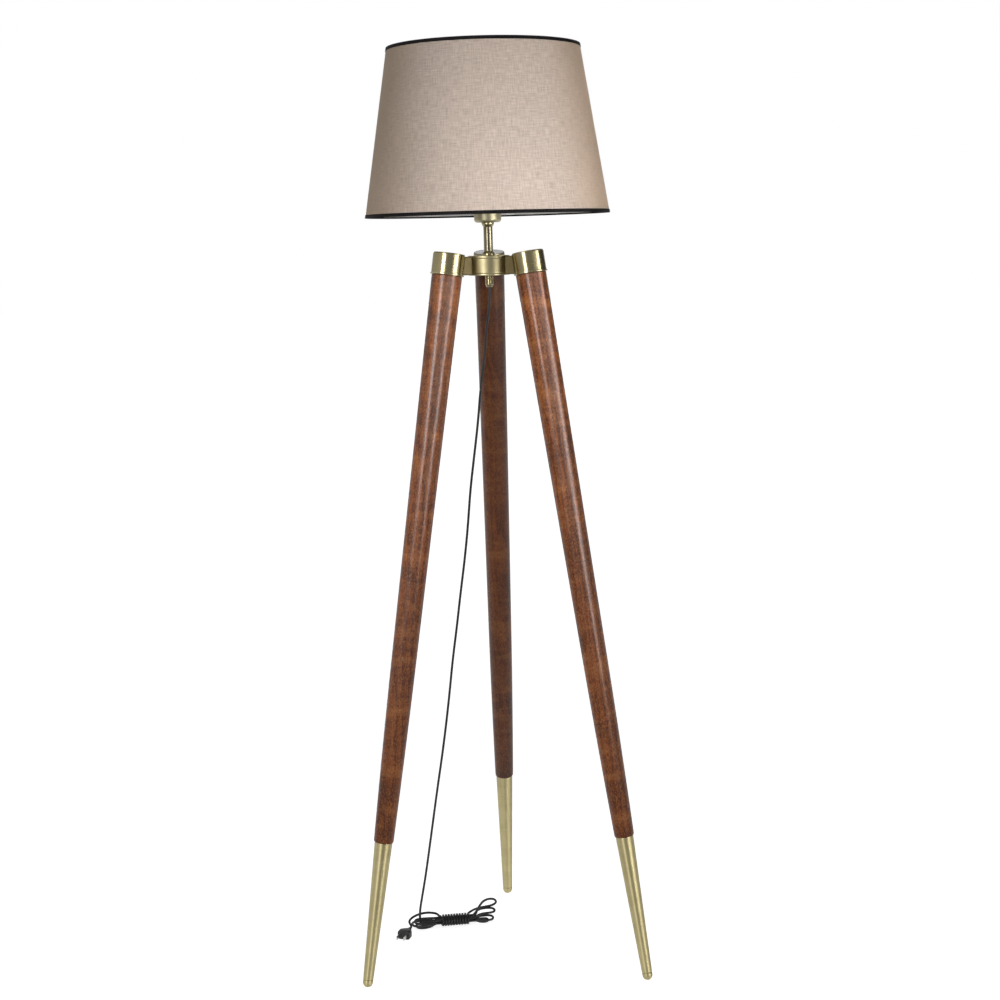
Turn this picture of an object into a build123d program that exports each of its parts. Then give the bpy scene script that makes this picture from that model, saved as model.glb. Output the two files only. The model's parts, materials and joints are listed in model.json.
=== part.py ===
from build123d import *
import math
import os

# A tripod floor lamp, in millimetres. Z is the lamp's axis, the floor is Z = 0,
# and the rear leg points along +Y, so the front of the lamp is on the -Y side.

# Stance of the tripod
foot_circle_radius = 259.5
collar_circle_radius = 73.3
leg_azimuths = {"left": 210.0, "right": 330.0, "rear": 90.0}

# Fits shared by the pieces
running_fit = 0.05
seat_gap = 0.05
turning_gap = 0.3
loose_fit = 0.3

# Foot tip, a turned brass glide with a domed end
tip_radius = 8.2
tip_height = 11.0
tip_dome_centre = 7.0
tip_neck_radius = 6.8
tip_neck_length = 1.0
tip_spigot_radius = 4.0
tip_spigot_length = 9.0

# Ferrule, a tapered brass sleeve on the lower end of the leg
ferrule_length = 223.2
ferrule_bottom_radius = 8.3
ferrule_top_radius = 14.3
ferrule_wall = 1.6
ferrule_floor = 14.0

# Turned wooden shaft: a slow taper that quickens towards the foot
shaft_length = 905.1
shaft_top_radius = 24.0
shaft_knee_radius = 20.0
shaft_knee_height = 296.0
shaft_bottom_radius = 15.9
shaft_bottom_round = 2.5
shaft_top_round = 1.2

# Hanger stud between the shaft and its collar
stud_radius = 5.0
stud_depth = 38.0
stud_overrun = 4.0

# Collar that takes the leg, and the cap disc in its top
collar_radius = 25.4
collar_height = 34.3
collar_wall = 3.5
collar_floor = 10.0
collar_lip = 1.1
collar_lip_height = 2.6
cap_thickness = 1.6
cap_ledge = 1.4

# Hub: base plate, drum and top plate
hub_radius = 33.0
hub_base_height = 3.0
hub_drum_height = 24.0
hub_cap_height = 4.0
hub_wall = 7.0
hub_drop = 3.5
hub_edge = 0.6

# Neck between the hub and each collar, and the bolt through it
neck_width = 9.0
neck_height = 29.0
neck_round = 1.5
bolt_radius = 3.0
bolt_head_radius = 5.0
bolt_head_height = 5.0
bolt_spotface = 1.0
bolt_grip_in_hub = 6.0

# Stem: threaded lamp pipe, sleeve and the flared nuts at both ends
pipe_radius = 5.0
pipe_bore = 3.4
pipe_in_grip = 12.0
pipe_above_cup_floor = 6.0
sleeve_radius = 7.2
sleeve_length = 39.0
stem_nut_height = 6.5
stem_nut_wide_radius = 9.9
stem_nut_band = 2.6
lock_nut_radius = 8.0
lock_nut_height = 4.5

# Cord grip under the hub and its clamp screw
grip_radius = 6.6
grip_length = 19.0
grip_nose_radius = 4.6
grip_nose_length = 4.0
grip_screw_radius = 1.5
grip_screw_height = 4.6
grip_screw_proud = 0.8
grip_screw_azimuth = 300.0

# Lampholder: brass cup, insulating body, screw shell and centre contact
cup_radius = 21.5
cup_height = 34.0
cup_wall = 1.4
cup_floor = 1.6
cup_round = 5.0
holder_radius = 20.0
holder_above_flange = 23.0
holder_flange_radius = 24.0
holder_flange_height = 2.5
holder_floor = 10.0
holder_wire_hole = 3.0
shell_radius = 14.1
shell_wall = 0.6
shell_height = 36.0
contact_length = 18.0
contact_width = 5.0
contact_thickness = 0.8
contact_button_radius = 3.0
contact_button_height = 1.4

# Bulb with its screw cap
bulb_cap_height = 27.0
bulb_insulator_height = 1.6
bulb_insulator_radius = 6.0
bulb_tip_radius = 4.5
bulb_tip_height = 0.8
bulb_tip_gap = 0.4
bulb_neck_radius = 12.8
bulb_neck_length = 24.0
bulb_globe_radius = 30.0
bulb_globe_height = 66.0
bulb_glass_wall = 1.0
bulb_neck_overlap = 4.0

# Shade: laminated cone, edge trims, wire rings and the spider that carries it
shade_height = 260.4
shade_bottom_radius = 193.0
shade_top_radius = 151.5
shade_skin = 1.2
trim_height = 4.6
trim_thickness = 0.7
wire_radius = 2.0
wire_from_edge = 7.6
fitter_rise = 26.0
fitter_outer_radius = 28.0
fitter_thickness = 2.0
arm_inner_radius = 24.0
ring_nut_radius = 25.5
ring_nut_height = 10.0

# Cord, its hank on the floor and its plug
cord_diameter = 4.0
straight_drop = 24.0
bend_share = 0.45
straight_limit = 1e-6
floor_gap = 0.1
hank_centre = Vector(-96, 114, 0)
hank_turn = 8.0
strand_pitch = 4.6
wrap_turns = 10
wrap_pitch = 4.8
wrap_first = 28.0
wrap_exit_climb = 3.0
wrap_exit_run = 13.0
wrap_exit_aside = 2.0
wrap_exit_lift = 1.5
waist_left = -24.0
waist_right = 32.0
least_self_gap = 0.4
own_stretch = 4 * cord_diameter
sample_spacing = 1.2
tail_first_run = 12.0
tail_last_run = 10.0
plug_direction = Vector(-0.32, -0.95, 0).normalized()
plug_relief_length = 10.0
plug_relief_rear_radius = 2.9
plug_relief_front_radius = 4.9
plug_rear_width = 12.0
plug_rear_thickness = 11.0
plug_rear_round = 3.6
plug_grip_length = 11.0
plug_body_length = 20.0
plug_body_width = 22.0
plug_body_thickness = 15.0
plug_body_round = 4.4
blade_length = 15.0
blade_height = 6.4
blade_thickness = 1.5
blade_spacing = 12.7
blade_root = 6.0

# Heights along the leg's own axis, from the point where that axis meets the floor
ferrule_bottom = tip_height + tip_neck_length
ferrule_top = ferrule_bottom + ferrule_length
shaft_top = ferrule_top + shaft_length
collar_bottom = shaft_top + turning_gap
collar_top = collar_bottom + collar_height
collar_middle = collar_bottom + collar_height / 2

# Heights of the hub and of everything stacked on it
splay = math.asin((foot_circle_radius - collar_circle_radius) / collar_middle)
hub_height = hub_base_height + hub_drum_height + hub_cap_height
hub_middle = collar_middle * math.cos(splay) - hub_drop
hub_bottom = hub_middle - hub_height / 2
hub_drum_bottom = hub_bottom + hub_base_height
hub_drum_top = hub_drum_bottom + hub_drum_height
hub_top = hub_middle + hub_height / 2
sleeve_bottom = hub_top + stem_nut_height
sleeve_top = sleeve_bottom + sleeve_length
cup_bottom = sleeve_top + stem_nut_height
cup_top = cup_bottom + cup_height
flange_top = cup_top + holder_flange_height
pipe_bottom = hub_bottom - pipe_in_grip
pipe_top = cup_bottom + cup_floor + pipe_above_cup_floor
holder_bottom = pipe_top + loose_fit
holder_seat = holder_bottom + holder_floor
holder_top = flange_top + holder_above_flange
contact_top = holder_seat + contact_thickness + contact_button_height
bulb_tip_bottom = contact_top + bulb_tip_gap
bulb_cap_bottom = bulb_tip_bottom + bulb_tip_height + bulb_insulator_height
bulb_cap_top = bulb_cap_bottom + bulb_cap_height
grip_bottom = hub_bottom - grip_length
fitter_bottom = flange_top + seat_gap
fitter_top = fitter_bottom + fitter_thickness
shade_bottom = fitter_bottom + fitter_thickness / 2 - fitter_rise
shade_top = shade_bottom + shade_height
pipe_hole = pipe_radius + running_fit
cord_radius = cord_diameter / 2

# The leg's axis in the plane Y = 0; each leg is this one, turned about Z
leg_axis = Plane(
    origin=(foot_circle_radius, 0, 0),
    x_dir=(0, 1, 0),
    z_dir=(-math.sin(splay), 0, math.cos(splay)),
)
collar_axis_radius = foot_circle_radius - hub_middle * math.tan(splay)


def turned(*curves):
    """Solid of revolution about Z from a closed outline drawn as (radius, height)."""
    outline = [edge for curve in curves for edge in curve.edges()]
    return revolve(Plane.XZ * make_face(outline), Axis.Z)


def ring(outer, inner, low, high):
    """Plain turned ring between two heights."""
    return turned(Polyline((inner, low), (outer, low), (outer, high), (inner, high), close=True))


def rod(start, end, radius):
    """Round bar between two points."""
    run = Vector(end) - Vector(start)
    section = Plane(origin=start, z_dir=run) * Circle(radius)
    return extrude(section, amount=run.length)


def on_leg(piece):
    return leg_axis.location * piece


# Foot and leg


def foot_tip():
    dome_start = Vector(tip_radius, tip_dome_centre)
    dome_end = Vector(0, tip_dome_centre - tip_radius)
    spigot_top = ferrule_bottom + tip_spigot_length
    dome = RadiusArc(dome_end, dome_start, -tip_radius)
    body = Polyline(
        dome_start,
        (tip_radius, tip_height),
        (tip_neck_radius, tip_height),
        (tip_neck_radius, ferrule_bottom),
        (tip_spigot_radius, ferrule_bottom),
        (tip_spigot_radius, spigot_top),
        (0, spigot_top),
        dome_end,
    )
    tip = on_leg(turned(dome, body))
    below_floor = Pos(foot_circle_radius, 0, -tip_height) * Box(
        4 * tip_radius, 4 * tip_radius, 2 * tip_height
    )
    return tip - below_floor


def ferrule_bore(height):
    """Radius of the hollow in the ferrule at a height along the leg."""
    share = (height - ferrule_bottom) / ferrule_length
    return ferrule_bottom_radius + share * (ferrule_top_radius - ferrule_bottom_radius) - ferrule_wall


def ferrule():
    hollow_bottom = ferrule_bottom + ferrule_floor
    spigot_hole = tip_spigot_radius + running_fit
    return on_leg(
        turned(
            Polyline(
                (spigot_hole, ferrule_bottom),
                (ferrule_bottom_radius, ferrule_bottom),
                (ferrule_top_radius, ferrule_top),
                (ferrule_bore(ferrule_top), ferrule_top),
                (ferrule_bore(hollow_bottom), hollow_bottom),
                (spigot_hole, hollow_bottom),
                close=True,
            )
        )
    )


def leg_shaft():
    tenon_bottom = ferrule_bottom + ferrule_floor + loose_fit
    tenon_low = ferrule_bore(tenon_bottom) - seat_gap
    tenon_high = ferrule_bore(ferrule_top) - seat_gap
    stud_hole = stud_radius + running_fit
    hole_bottom = shaft_top - stud_depth
    knee = Vector(shaft_knee_radius, ferrule_top + shaft_knee_height)
    top_edge = Vector(shaft_top_radius, shaft_top - shaft_top_round)
    low_edge = Vector(shaft_bottom_radius, ferrule_top + shaft_bottom_round)
    shoulder = Vector(shaft_bottom_radius - shaft_bottom_round, ferrule_top)
    crown = Vector(shaft_top_radius - shaft_top_round, shaft_top)
    return on_leg(
        turned(
            Line(knee, top_edge),
            TangentArc(knee, low_edge, tangent=knee - top_edge),
            RadiusArc(low_edge, shoulder, shaft_bottom_round),
            RadiusArc(crown, top_edge, shaft_top_round),
            Polyline(
                shoulder,
                (tenon_high, ferrule_top),
                (tenon_low, tenon_bottom),
                (0, tenon_bottom),
                (0, hole_bottom),
                (stud_hole, hole_bottom),
                (stud_hole, shaft_top),
                crown,
            ),
        )
    )


def leg_stud():
    low = shaft_top - stud_depth
    high = collar_bottom + collar_floor + stud_overrun
    return on_leg(ring(stud_radius, 0, low, high))


# Collars, necks and hub


def neck_bolt_seat():
    """Distance from the lamp's axis to the seat of a neck bolt's head."""
    hollow = (collar_radius - collar_wall) / math.cos(splay)
    return collar_axis_radius - hollow - bolt_spotface


def neck_bolt_hole():
    radius = bolt_radius + running_fit
    return rod((hub_radius - hub_wall, 0, hub_middle), (collar_axis_radius, 0, hub_middle), radius)


def leg_collar():
    hollow = collar_radius - collar_wall
    ledge = hollow + cap_ledge
    hollow_bottom = collar_bottom + collar_floor
    ledge_height = collar_top - cap_thickness
    stud_hole = stud_radius + running_fit
    lip_radius = collar_radius + collar_lip
    lip_top = collar_bottom + collar_lip_height
    cup = on_leg(
        turned(
            Polyline(
                (stud_hole, collar_bottom),
                (lip_radius, collar_bottom),
                (lip_radius, lip_top - collar_lip),
                (collar_radius, lip_top),
                (collar_radius, collar_top),
                (ledge, collar_top),
                (ledge, ledge_height),
                (hollow, ledge_height),
                (hollow, hollow_bottom),
                (stud_hole, hollow_bottom),
                close=True,
            )
        )
    )
    seat = neck_bolt_seat()
    spotface = rod(
        (seat, 0, hub_middle),
        (seat + 2 * bolt_head_height, 0, hub_middle),
        bolt_head_radius + loose_fit,
    )
    return cup - neck_bolt_hole() - spotface


def collar_cap():
    radius = collar_radius - collar_wall + cap_ledge - seat_gap
    return on_leg(ring(radius, 0, collar_top - cap_thickness, collar_top))


def collar_neck():
    length = collar_axis_radius
    block = Pos(length / 2, 0, hub_middle) * Box(length, neck_width, neck_height)
    block = fillet(block.edges().filter_by(Axis.X), neck_round)
    hub_space = Pos(0, 0, hub_middle) * Cylinder(hub_radius + seat_gap, 2 * neck_height)
    collar_low = collar_bottom - collar_height
    collar_space = on_leg(ring(collar_radius + seat_gap, 0, collar_low, collar_top + collar_height))
    return block - hub_space - collar_space - neck_bolt_hole()


def neck_bolt():
    seat = neck_bolt_seat()
    tip = hub_radius - bolt_grip_in_hub
    shank = rod((tip, 0, hub_middle), (seat, 0, hub_middle), bolt_radius)
    head = rod((seat, 0, hub_middle), (seat + bolt_head_height, 0, hub_middle), bolt_head_radius)
    return shank + head


def hub_base_plate():
    return turned(
        Polyline(
            (pipe_hole, hub_bottom),
            (hub_radius - hub_edge, hub_bottom),
            (hub_radius, hub_bottom + hub_edge),
            (hub_radius, hub_drum_bottom),
            (pipe_hole, hub_drum_bottom),
            close=True,
        )
    )


def hub_drum():
    drum = turned(
        Polyline(
            (hub_radius - hub_wall, hub_drum_bottom),
            (hub_radius - hub_edge, hub_drum_bottom),
            (hub_radius, hub_drum_bottom + hub_edge),
            (hub_radius, hub_drum_top - hub_edge),
            (hub_radius - hub_edge, hub_drum_top),
            (hub_radius - hub_wall, hub_drum_top),
            close=True,
        )
    )
    holes = [Rot(0, 0, azimuth) * neck_bolt_hole() for azimuth in leg_azimuths.values()]
    return drum - holes


def hub_top_plate():
    return turned(
        Polyline(
            (pipe_hole, hub_drum_top),
            (hub_radius, hub_drum_top),
            (hub_radius, hub_top - hub_edge),
            (hub_radius - hub_edge, hub_top),
            (pipe_hole, hub_top),
            close=True,
        )
    )


# Stem and cord grip


def lamp_pipe():
    return ring(pipe_radius, pipe_bore, pipe_bottom, pipe_top)


def lock_nut(low):
    """Hexagon nut on the lamp pipe, standing on a given height."""
    blank = extrude(RegularPolygon(lock_nut_radius, 6) - Circle(pipe_hole), amount=lock_nut_height)
    return Pos(0, 0, low) * blank


def stem_nut(seat, towards_stem):
    """Flared nut: a wide band on its seat, then a cone down to the sleeve."""
    band = seat + towards_stem * stem_nut_band
    end = seat + towards_stem * stem_nut_height
    return turned(
        Polyline(
            (pipe_hole, seat),
            (stem_nut_wide_radius, seat),
            (stem_nut_wide_radius, band),
            (sleeve_radius, end),
            (pipe_hole, end),
            close=True,
        )
    )


def stem_sleeve():
    return ring(sleeve_radius, pipe_hole, sleeve_bottom, sleeve_top)


def grip_screw_line():
    height = grip_bottom + grip_screw_height
    turn = Rot(0, 0, grip_screw_azimuth)
    inner = Vector(cord_radius + seat_gap, 0, height)
    outer = Vector(grip_radius + grip_screw_proud, 0, height)
    return turn, inner, outer


def cord_grip():
    cord_hole = cord_radius + loose_fit
    body = turned(
        Polyline(
            (pipe_hole, hub_bottom),
            (grip_radius, hub_bottom),
            (grip_radius, grip_bottom + grip_nose_length),
            (grip_nose_radius, grip_bottom),
            (cord_hole, grip_bottom),
            (cord_hole, pipe_bottom),
            (pipe_hole, pipe_bottom),
            close=True,
        )
    )
    turn, inner, outer = grip_screw_line()
    return body - turn * rod(Vector(0, 0, inner.Z), outer, grip_screw_radius + running_fit)


def grip_screw():
    turn, inner, outer = grip_screw_line()
    return turn * rod(inner, outer, grip_screw_radius)


def inner_flex():
    return ring(cord_radius, 0, grip_bottom, holder_seat - seat_gap)


# Lampholder and bulb


def holder_cup():
    inner = cup_radius - cup_wall
    floor = cup_bottom + cup_floor
    inner_round = cup_round - cup_wall
    base_edge = Vector(cup_radius - cup_round, cup_bottom)
    side_edge = Vector(cup_radius, cup_bottom + cup_round)
    inner_side = Vector(inner, floor + inner_round)
    inner_base = Vector(inner - inner_round, floor)
    return turned(
        RadiusArc(base_edge, side_edge, -cup_round),
        Polyline(side_edge, (cup_radius, cup_top), (inner, cup_top), inner_side),
        RadiusArc(inner_side, inner_base, inner_round),
        Polyline(inner_base, (pipe_hole, floor), (pipe_hole, cup_bottom), base_edge),
    )


def holder_body():
    bore = shell_radius + seat_gap
    return turned(
        Polyline(
            (holder_wire_hole, holder_bottom),
            (holder_radius, holder_bottom),
            (holder_radius, cup_top),
            (holder_flange_radius, cup_top),
            (holder_flange_radius, flange_top),
            (holder_radius, flange_top),
            (holder_radius, holder_top),
            (bore, holder_top),
            (bore, holder_seat),
            (holder_wire_hole, holder_seat),
            close=True,
        )
    )


def screw_shell():
    return ring(shell_radius, shell_radius - shell_wall, holder_seat, holder_seat + shell_height)


def centre_contact():
    strip = Box(contact_length, contact_width, contact_thickness)
    button = ring(contact_button_radius, 0, holder_seat, contact_top)
    return Pos(0, 0, holder_seat + contact_thickness / 2) * strip + button


def bulb_cap():
    """Screw cap with its insulator and tip, hollow where the glass neck is cemented in."""
    cap_radius = shell_radius - shell_wall - running_fit
    neck_hole = bulb_neck_radius + seat_gap
    cement = bulb_cap_top - bulb_neck_overlap
    return turned(
        Polyline(
            (0, bulb_tip_bottom),
            (bulb_tip_radius, bulb_tip_bottom),
            (bulb_insulator_radius, bulb_tip_bottom + bulb_tip_height),
            (cap_radius, bulb_cap_bottom),
            (cap_radius, bulb_cap_top),
            (neck_hole, bulb_cap_top),
            (neck_hole, cement),
            (0, cement),
            close=True,
        )
    )


def bulb_outline(inset):
    """Neck, flare and globe of the glass, moved inwards by the wall for the inside."""
    neck = bulb_neck_radius - inset
    globe = bulb_globe_radius - inset
    low = bulb_cap_top - bulb_neck_overlap
    neck_top = bulb_cap_top + bulb_neck_length
    middle = bulb_cap_top + bulb_globe_height
    crown = middle + globe
    flare = TangentArc((globe, middle), (neck, neck_top), tangent=(0, -1))
    crown_arc = RadiusArc((globe, middle), (0, crown), -globe)
    return Line((neck, low), (neck, neck_top)), flare, crown_arc, low, neck, crown


def bulb_glass():
    wall_line, flare, crown_arc, low, neck, crown = bulb_outline(0)
    inner_line, inner_flare, inner_crown_arc, low, inner_neck, inner_crown = bulb_outline(bulb_glass_wall)
    return turned(
        wall_line,
        flare,
        crown_arc,
        Line((0, crown), (0, inner_crown)),
        inner_crown_arc,
        inner_flare,
        inner_line,
        Line((inner_neck, low), (neck, low)),
    )


# Shade


def skin_radius(height):
    """Outer radius of the shade's skin at a height."""
    share = (height - shade_bottom) / shade_height
    return shade_bottom_radius + share * (shade_top_radius - shade_bottom_radius)


def shade_skin_cone():
    return turned(
        Polyline(
            (shade_bottom_radius, shade_bottom),
            (shade_top_radius, shade_top),
            (shade_top_radius - shade_skin, shade_top),
            (shade_bottom_radius - shade_skin, shade_bottom),
            close=True,
        )
    )


def edge_trim(edge, inwards):
    """Tape folded over an edge of the skin; inwards is +1 at the bottom edge and -1 at the top."""
    hem = edge + inwards * trim_height
    fold_in = edge - inwards * seat_gap
    fold_out = fold_in - inwards * trim_thickness
    outside = seat_gap + trim_thickness
    inside = shade_skin + seat_gap
    return turned(
        Polyline(
            (skin_radius(fold_out) + outside, fold_out),
            (skin_radius(hem) + outside, hem),
            (skin_radius(hem) + seat_gap, hem),
            (skin_radius(fold_in) + seat_gap, fold_in),
            (skin_radius(fold_in) - inside, fold_in),
            (skin_radius(hem) - inside, hem),
            (skin_radius(hem) - inside - trim_thickness, hem),
            (skin_radius(fold_out) - inside - trim_thickness, fold_out),
            close=True,
        )
    )


def wire_circle_radius(height):
    """Radius of a wire ring that lies against the inside of the skin."""
    lean = math.atan((shade_bottom_radius - shade_top_radius) / shade_height)
    return skin_radius(height) - shade_skin - (wire_radius + seat_gap) / math.cos(lean)


def wire_ring(height, radius=wire_radius):
    section = Plane.XZ * Pos(wire_circle_radius(height), height) * Circle(radius)
    return revolve(section, Axis.Z)


bottom_wire_height = shade_bottom + wire_from_edge
top_wire_height = shade_top - wire_from_edge
fitter_middle = fitter_bottom + fitter_thickness / 2


def fitter_ring():
    return ring(fitter_outer_radius, holder_radius + running_fit, fitter_bottom, fitter_top)


def spider_arm():
    inner = Vector(arm_inner_radius, 0, fitter_middle)
    outer = Vector(wire_circle_radius(bottom_wire_height), 0, bottom_wire_height)
    bar = rod(inner, outer, wire_radius)
    fitter_hole = fitter_outer_radius + seat_gap
    fitter_space = ring(fitter_hole, 0, fitter_bottom - fitter_rise, fitter_top + fitter_rise)
    return bar - fitter_space - wire_ring(bottom_wire_height, wire_radius + seat_gap)


def shade_ring_nut():
    low = fitter_top + seat_gap
    return ring(ring_nut_radius, holder_radius + running_fit, low, low + ring_nut_height)


# Cord: the drop from the hub, the hank on the floor and the tail to the plug

drop_route = [
    Vector(0, 0, grip_bottom),
    Vector(0, 0, grip_bottom - straight_drop),
    Vector(-7, 6, 1039),
    Vector(-11, 12, 992),
    Vector(-19, 17, 944),
    Vector(-25, 24, 886),
    Vector(-33, 31, 830),
    Vector(-41, 37, 774),
    Vector(-47, 44, 712),
    Vector(-54, 51, 656),
    Vector(-63, 58, 597),
    Vector(-71, 65, 539),
    Vector(-80, 72, 481),
    Vector(-87, 79, 424),
    Vector(-95, 86, 366),
    Vector(-104, 92, 308),
    Vector(-114, 98, 250),
    Vector(-123, 102, 194),
    Vector(-132, 105, 138),
    Vector(-140, 106, 90),
    Vector(-147, 105, 54),
    Vector(-152, 104, 28),
]


def bend_radii(route):
    """Largest radius that each corner's two runs allow."""
    radii = []
    for before, corner, after in zip(route, route[1:], route[2:]):
        run_in = corner - before
        run_out = after - corner
        half_turn = math.radians(run_in.get_angle(run_out)) / 2
        radii.append(bend_share * min(run_in.length, run_out.length) / math.tan(half_turn))
    return radii


def cord_tube(name, route):
    """Tube of straight runs and tangent arcs along a route."""
    radii = bend_radii(route)
    path = FilletPolyline(*route, radius=radii)
    section = Plane(origin=route[0], z_dir=route[1] - route[0]) * Circle(cord_radius)
    tube = sweep(section, path=path)
    report_tube(name, tube, path.length)
    print(name, "least bend radius", round(min(radii), 1))
    return tube


def report_tube(name, tube, length):
    expected = math.pi * cord_radius**2 * length
    print(name, "length", round(length, 1), "volume ratio", round(tube.volume / expected, 4))


def biarc(start, start_way, end, end_way):
    """Two tangent arcs from one point and direction to the next."""
    chord = end - start
    ways = start_way + end_way
    spread = 2 * (1 - start_way.dot(end_way))
    along = chord.dot(ways)
    if spread < straight_limit:
        reach = chord.length**2 / (2 * along)
    else:
        reach = (math.sqrt(along**2 + spread * chord.length**2) - along) / spread
    first_corner = start + start_way * reach
    second_corner = end - end_way * reach
    middle = (first_corner + second_corner) / 2
    middle_way = second_corner - first_corner
    if max(chord.cross(start_way).length, chord.cross(end_way).length) < straight_limit:
        return [Line(start, end)]
    first = TangentArc(start, middle, tangent=start_way)
    return [first, TangentArc(middle, end, tangent=middle_way)]


# Hank: strands lie in two layers of columns at the waist, and fan out into loops at both ends
wrap_low = cord_radius + floor_gap
lower_layer = wrap_low + strand_pitch
upper_layer = lower_layer + strand_pitch
wrap_high = upper_layer + strand_pitch
inner_column = strand_pitch / 2
outer_column = 3 * strand_pitch / 2
lower_sag = 3.4
upper_sag = 2.2


class Loop:
    """One turn of the hank: how far it reaches, how wide it opens and how high it ends."""

    def __init__(self, reach, front, back, depth, rise=0.0):
        self.reach = reach
        self.front = front
        self.back = back
        self.depth = depth
        self.rise = rise


right_loops = [
    Loop(reach=62, front=7.5, back=8, depth=9),
    Loop(reach=69, front=14.5, back=16, depth=16),
    Loop(reach=75, front=17, back=23, depth=22, rise=4),
]
left_loops = [
    Loop(reach=63, front=14, back=9, depth=16),
    Loop(reach=70, front=20, back=19, depth=23),
    Loop(reach=65, front=9.5, back=14, depth=18),
]


def sag(height):
    """How far a strand sinks between the waist and the loop's shoulder."""
    return lower_sag if height < upper_layer else upper_sag


def loop_stations(loop, side, start, end):
    """Points and directions round one end of the hank, from one waist column to the next."""
    waist = waist_right if side > 0 else waist_left
    opening, closing = (-loop.front, loop.back) if side > 0 else (loop.back, -loop.front)
    shoulder = side * (loop.reach - loop.depth)
    low_start = start.Y - sag(start.Y) + loop.rise
    low_end = end.Y - sag(end.Y) + loop.rise
    middle = (opening + closing) / 2
    out = Vector(side, 0, 0)
    return [
        (Vector(waist, start.X, start.Y), out),
        (Vector(shoulder, opening, low_start), out),
        (Vector(side * loop.reach, middle, (low_start + low_end) / 2), Vector(0, side, 0)),
        (Vector(shoulder, closing, low_end), -out),
        (Vector(waist, end.X, end.Y), -out),
    ]


def hank_stations():
    """Stations of the whole hank as (point, direction), in the hank's own frame."""
    inner_low = Vector(-inner_column, lower_layer), Vector(inner_column, lower_layer)
    outer_low = Vector(-outer_column, lower_layer), Vector(outer_column, lower_layer)
    outer_high = Vector(-outer_column, upper_layer), Vector(outer_column, upper_layer)
    inner_high = Vector(-inner_column, upper_layer), Vector(inner_column, upper_layer)
    entry = (drop_route[-1] - hank_centre).rotate(Axis.Z, -hank_turn)
    entry_way = (drop_route[-1] - drop_route[-2]).normalized().rotate(Axis.Z, -hank_turn)
    stations = [
        (entry, entry_way),
        (Vector(-43, -2.3, 5), Vector(1, 0, 0)),
        (Vector(waist_left, inner_low[0].X, inner_low[0].Y), Vector(1, 0, 0)),
    ]
    stations += loop_stations(right_loops[0], 1, *inner_low)
    stations += loop_stations(left_loops[0], -1, inner_low[1], outer_low[0])
    stations += loop_stations(right_loops[1], 1, *outer_low)
    stations += loop_stations(left_loops[1], -1, outer_low[1], outer_high[0])
    stations += loop_stations(right_loops[2], 1, *outer_high)
    stations += loop_stations(left_loops[2], -1, outer_high[1], inner_high[0])
    stations += upright_loop(inner_high[0])
    stations += wrap_stations()
    return stations


def upright_loop(start):
    """The last loop stands up at the right end and comes back over the others to the wrap."""
    return [
        (Vector(waist_right, start.X, start.Y), Vector(1, 0, 0)),
        (Vector(48, -3, 29), Vector(0.5, 0.05, 0.86).normalized()),
        (Vector(61, 3, 39), Vector(0.93, 0.36, 0).normalized()),
        (Vector(72, 12, 30), Vector(0.1, 0.25, -0.96).normalized()),
        (Vector(60, 19, 20.5), Vector(-0.97, 0, -0.2).normalized()),
        (Vector(43, 17, 18.5), Vector(-0.93, -0.36, -0.05).normalized()),
    ]


def wrap_stations():
    """Turns of the cord round the waist: flat over and under, half round at the sides."""
    step = wrap_pitch / 4
    slant = step / (2 * outer_column)
    over = Vector(-slant, -1, 0).normalized()
    under = Vector(-slant, 1, 0).normalized()
    stations = []
    for turn in range(wrap_turns):
        along = wrap_first - turn * wrap_pitch
        stations += [
            (Vector(along, outer_column, wrap_high), over),
            (Vector(along - step, -outer_column, wrap_high), over),
            (Vector(along - 2 * step, -outer_column, wrap_low), under),
            (Vector(along - 3 * step, outer_column, wrap_low), under),
        ]
    last = stations[-1][0]
    side = outer_column + (wrap_high - wrap_low) / 2
    climb = Vector(last.X - wrap_exit_climb, side, (wrap_high + wrap_low) / 2)
    leave = Vector(last.X - wrap_exit_run, side + wrap_exit_aside, wrap_high + wrap_exit_lift)
    stations.append((climb, Vector(-0.35, 0, 0.94).normalized()))
    stations.append((leave, Vector(-0.98, 0.1, 0.1).normalized()))
    return stations


def least_gap(points):
    """Least gap between stretches of the cord that lie apart along it."""
    apart = math.ceil(own_stretch / sample_spacing)
    gaps = []
    for i, one in enumerate(points):
        for other in points[i + apart:]:
            if abs(one[0] - other[0]) < own_stretch:
                gaps.append(math.dist(one, other))
    return min(gaps) - cord_diameter


def on_hank(point):
    """A point of the hank's own frame, where the hank lies on the floor."""
    return hank_centre + point.rotate(Axis.Z, hank_turn)


def cord_hank():
    stations = [(on_hank(point), way.rotate(Axis.Z, hank_turn)) for point, way in hank_stations()]
    edges = []
    for (start, start_way), (end, end_way) in zip(stations, stations[1:]):
        if (end - start).length > seat_gap:
            edges += biarc(start, start_way, end, end_way)
    path = Wire([edge.edge() for edge in edges])
    start, start_way = stations[0]
    tube = sweep(Plane(origin=start, z_dir=start_way) * Circle(cord_radius), path=path)
    report_tube("cord_hank", tube, path.length)
    points = []
    for edge in edges:
        count = max(2, round(edge.length / sample_spacing))
        points += [tuple(edge @ (i / count)) for i in range(count)]
    gap = least_gap(points)
    print("cord_hank least gap to itself", round(gap, 2), "wanted over", least_self_gap)
    print("cord_hank lowest point", round(min(point[2] for point in points) - cord_radius, 2))
    return tube


plug_rear = on_hank(Vector(-76, -22, plug_body_thickness / 2 + floor_gap))


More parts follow.
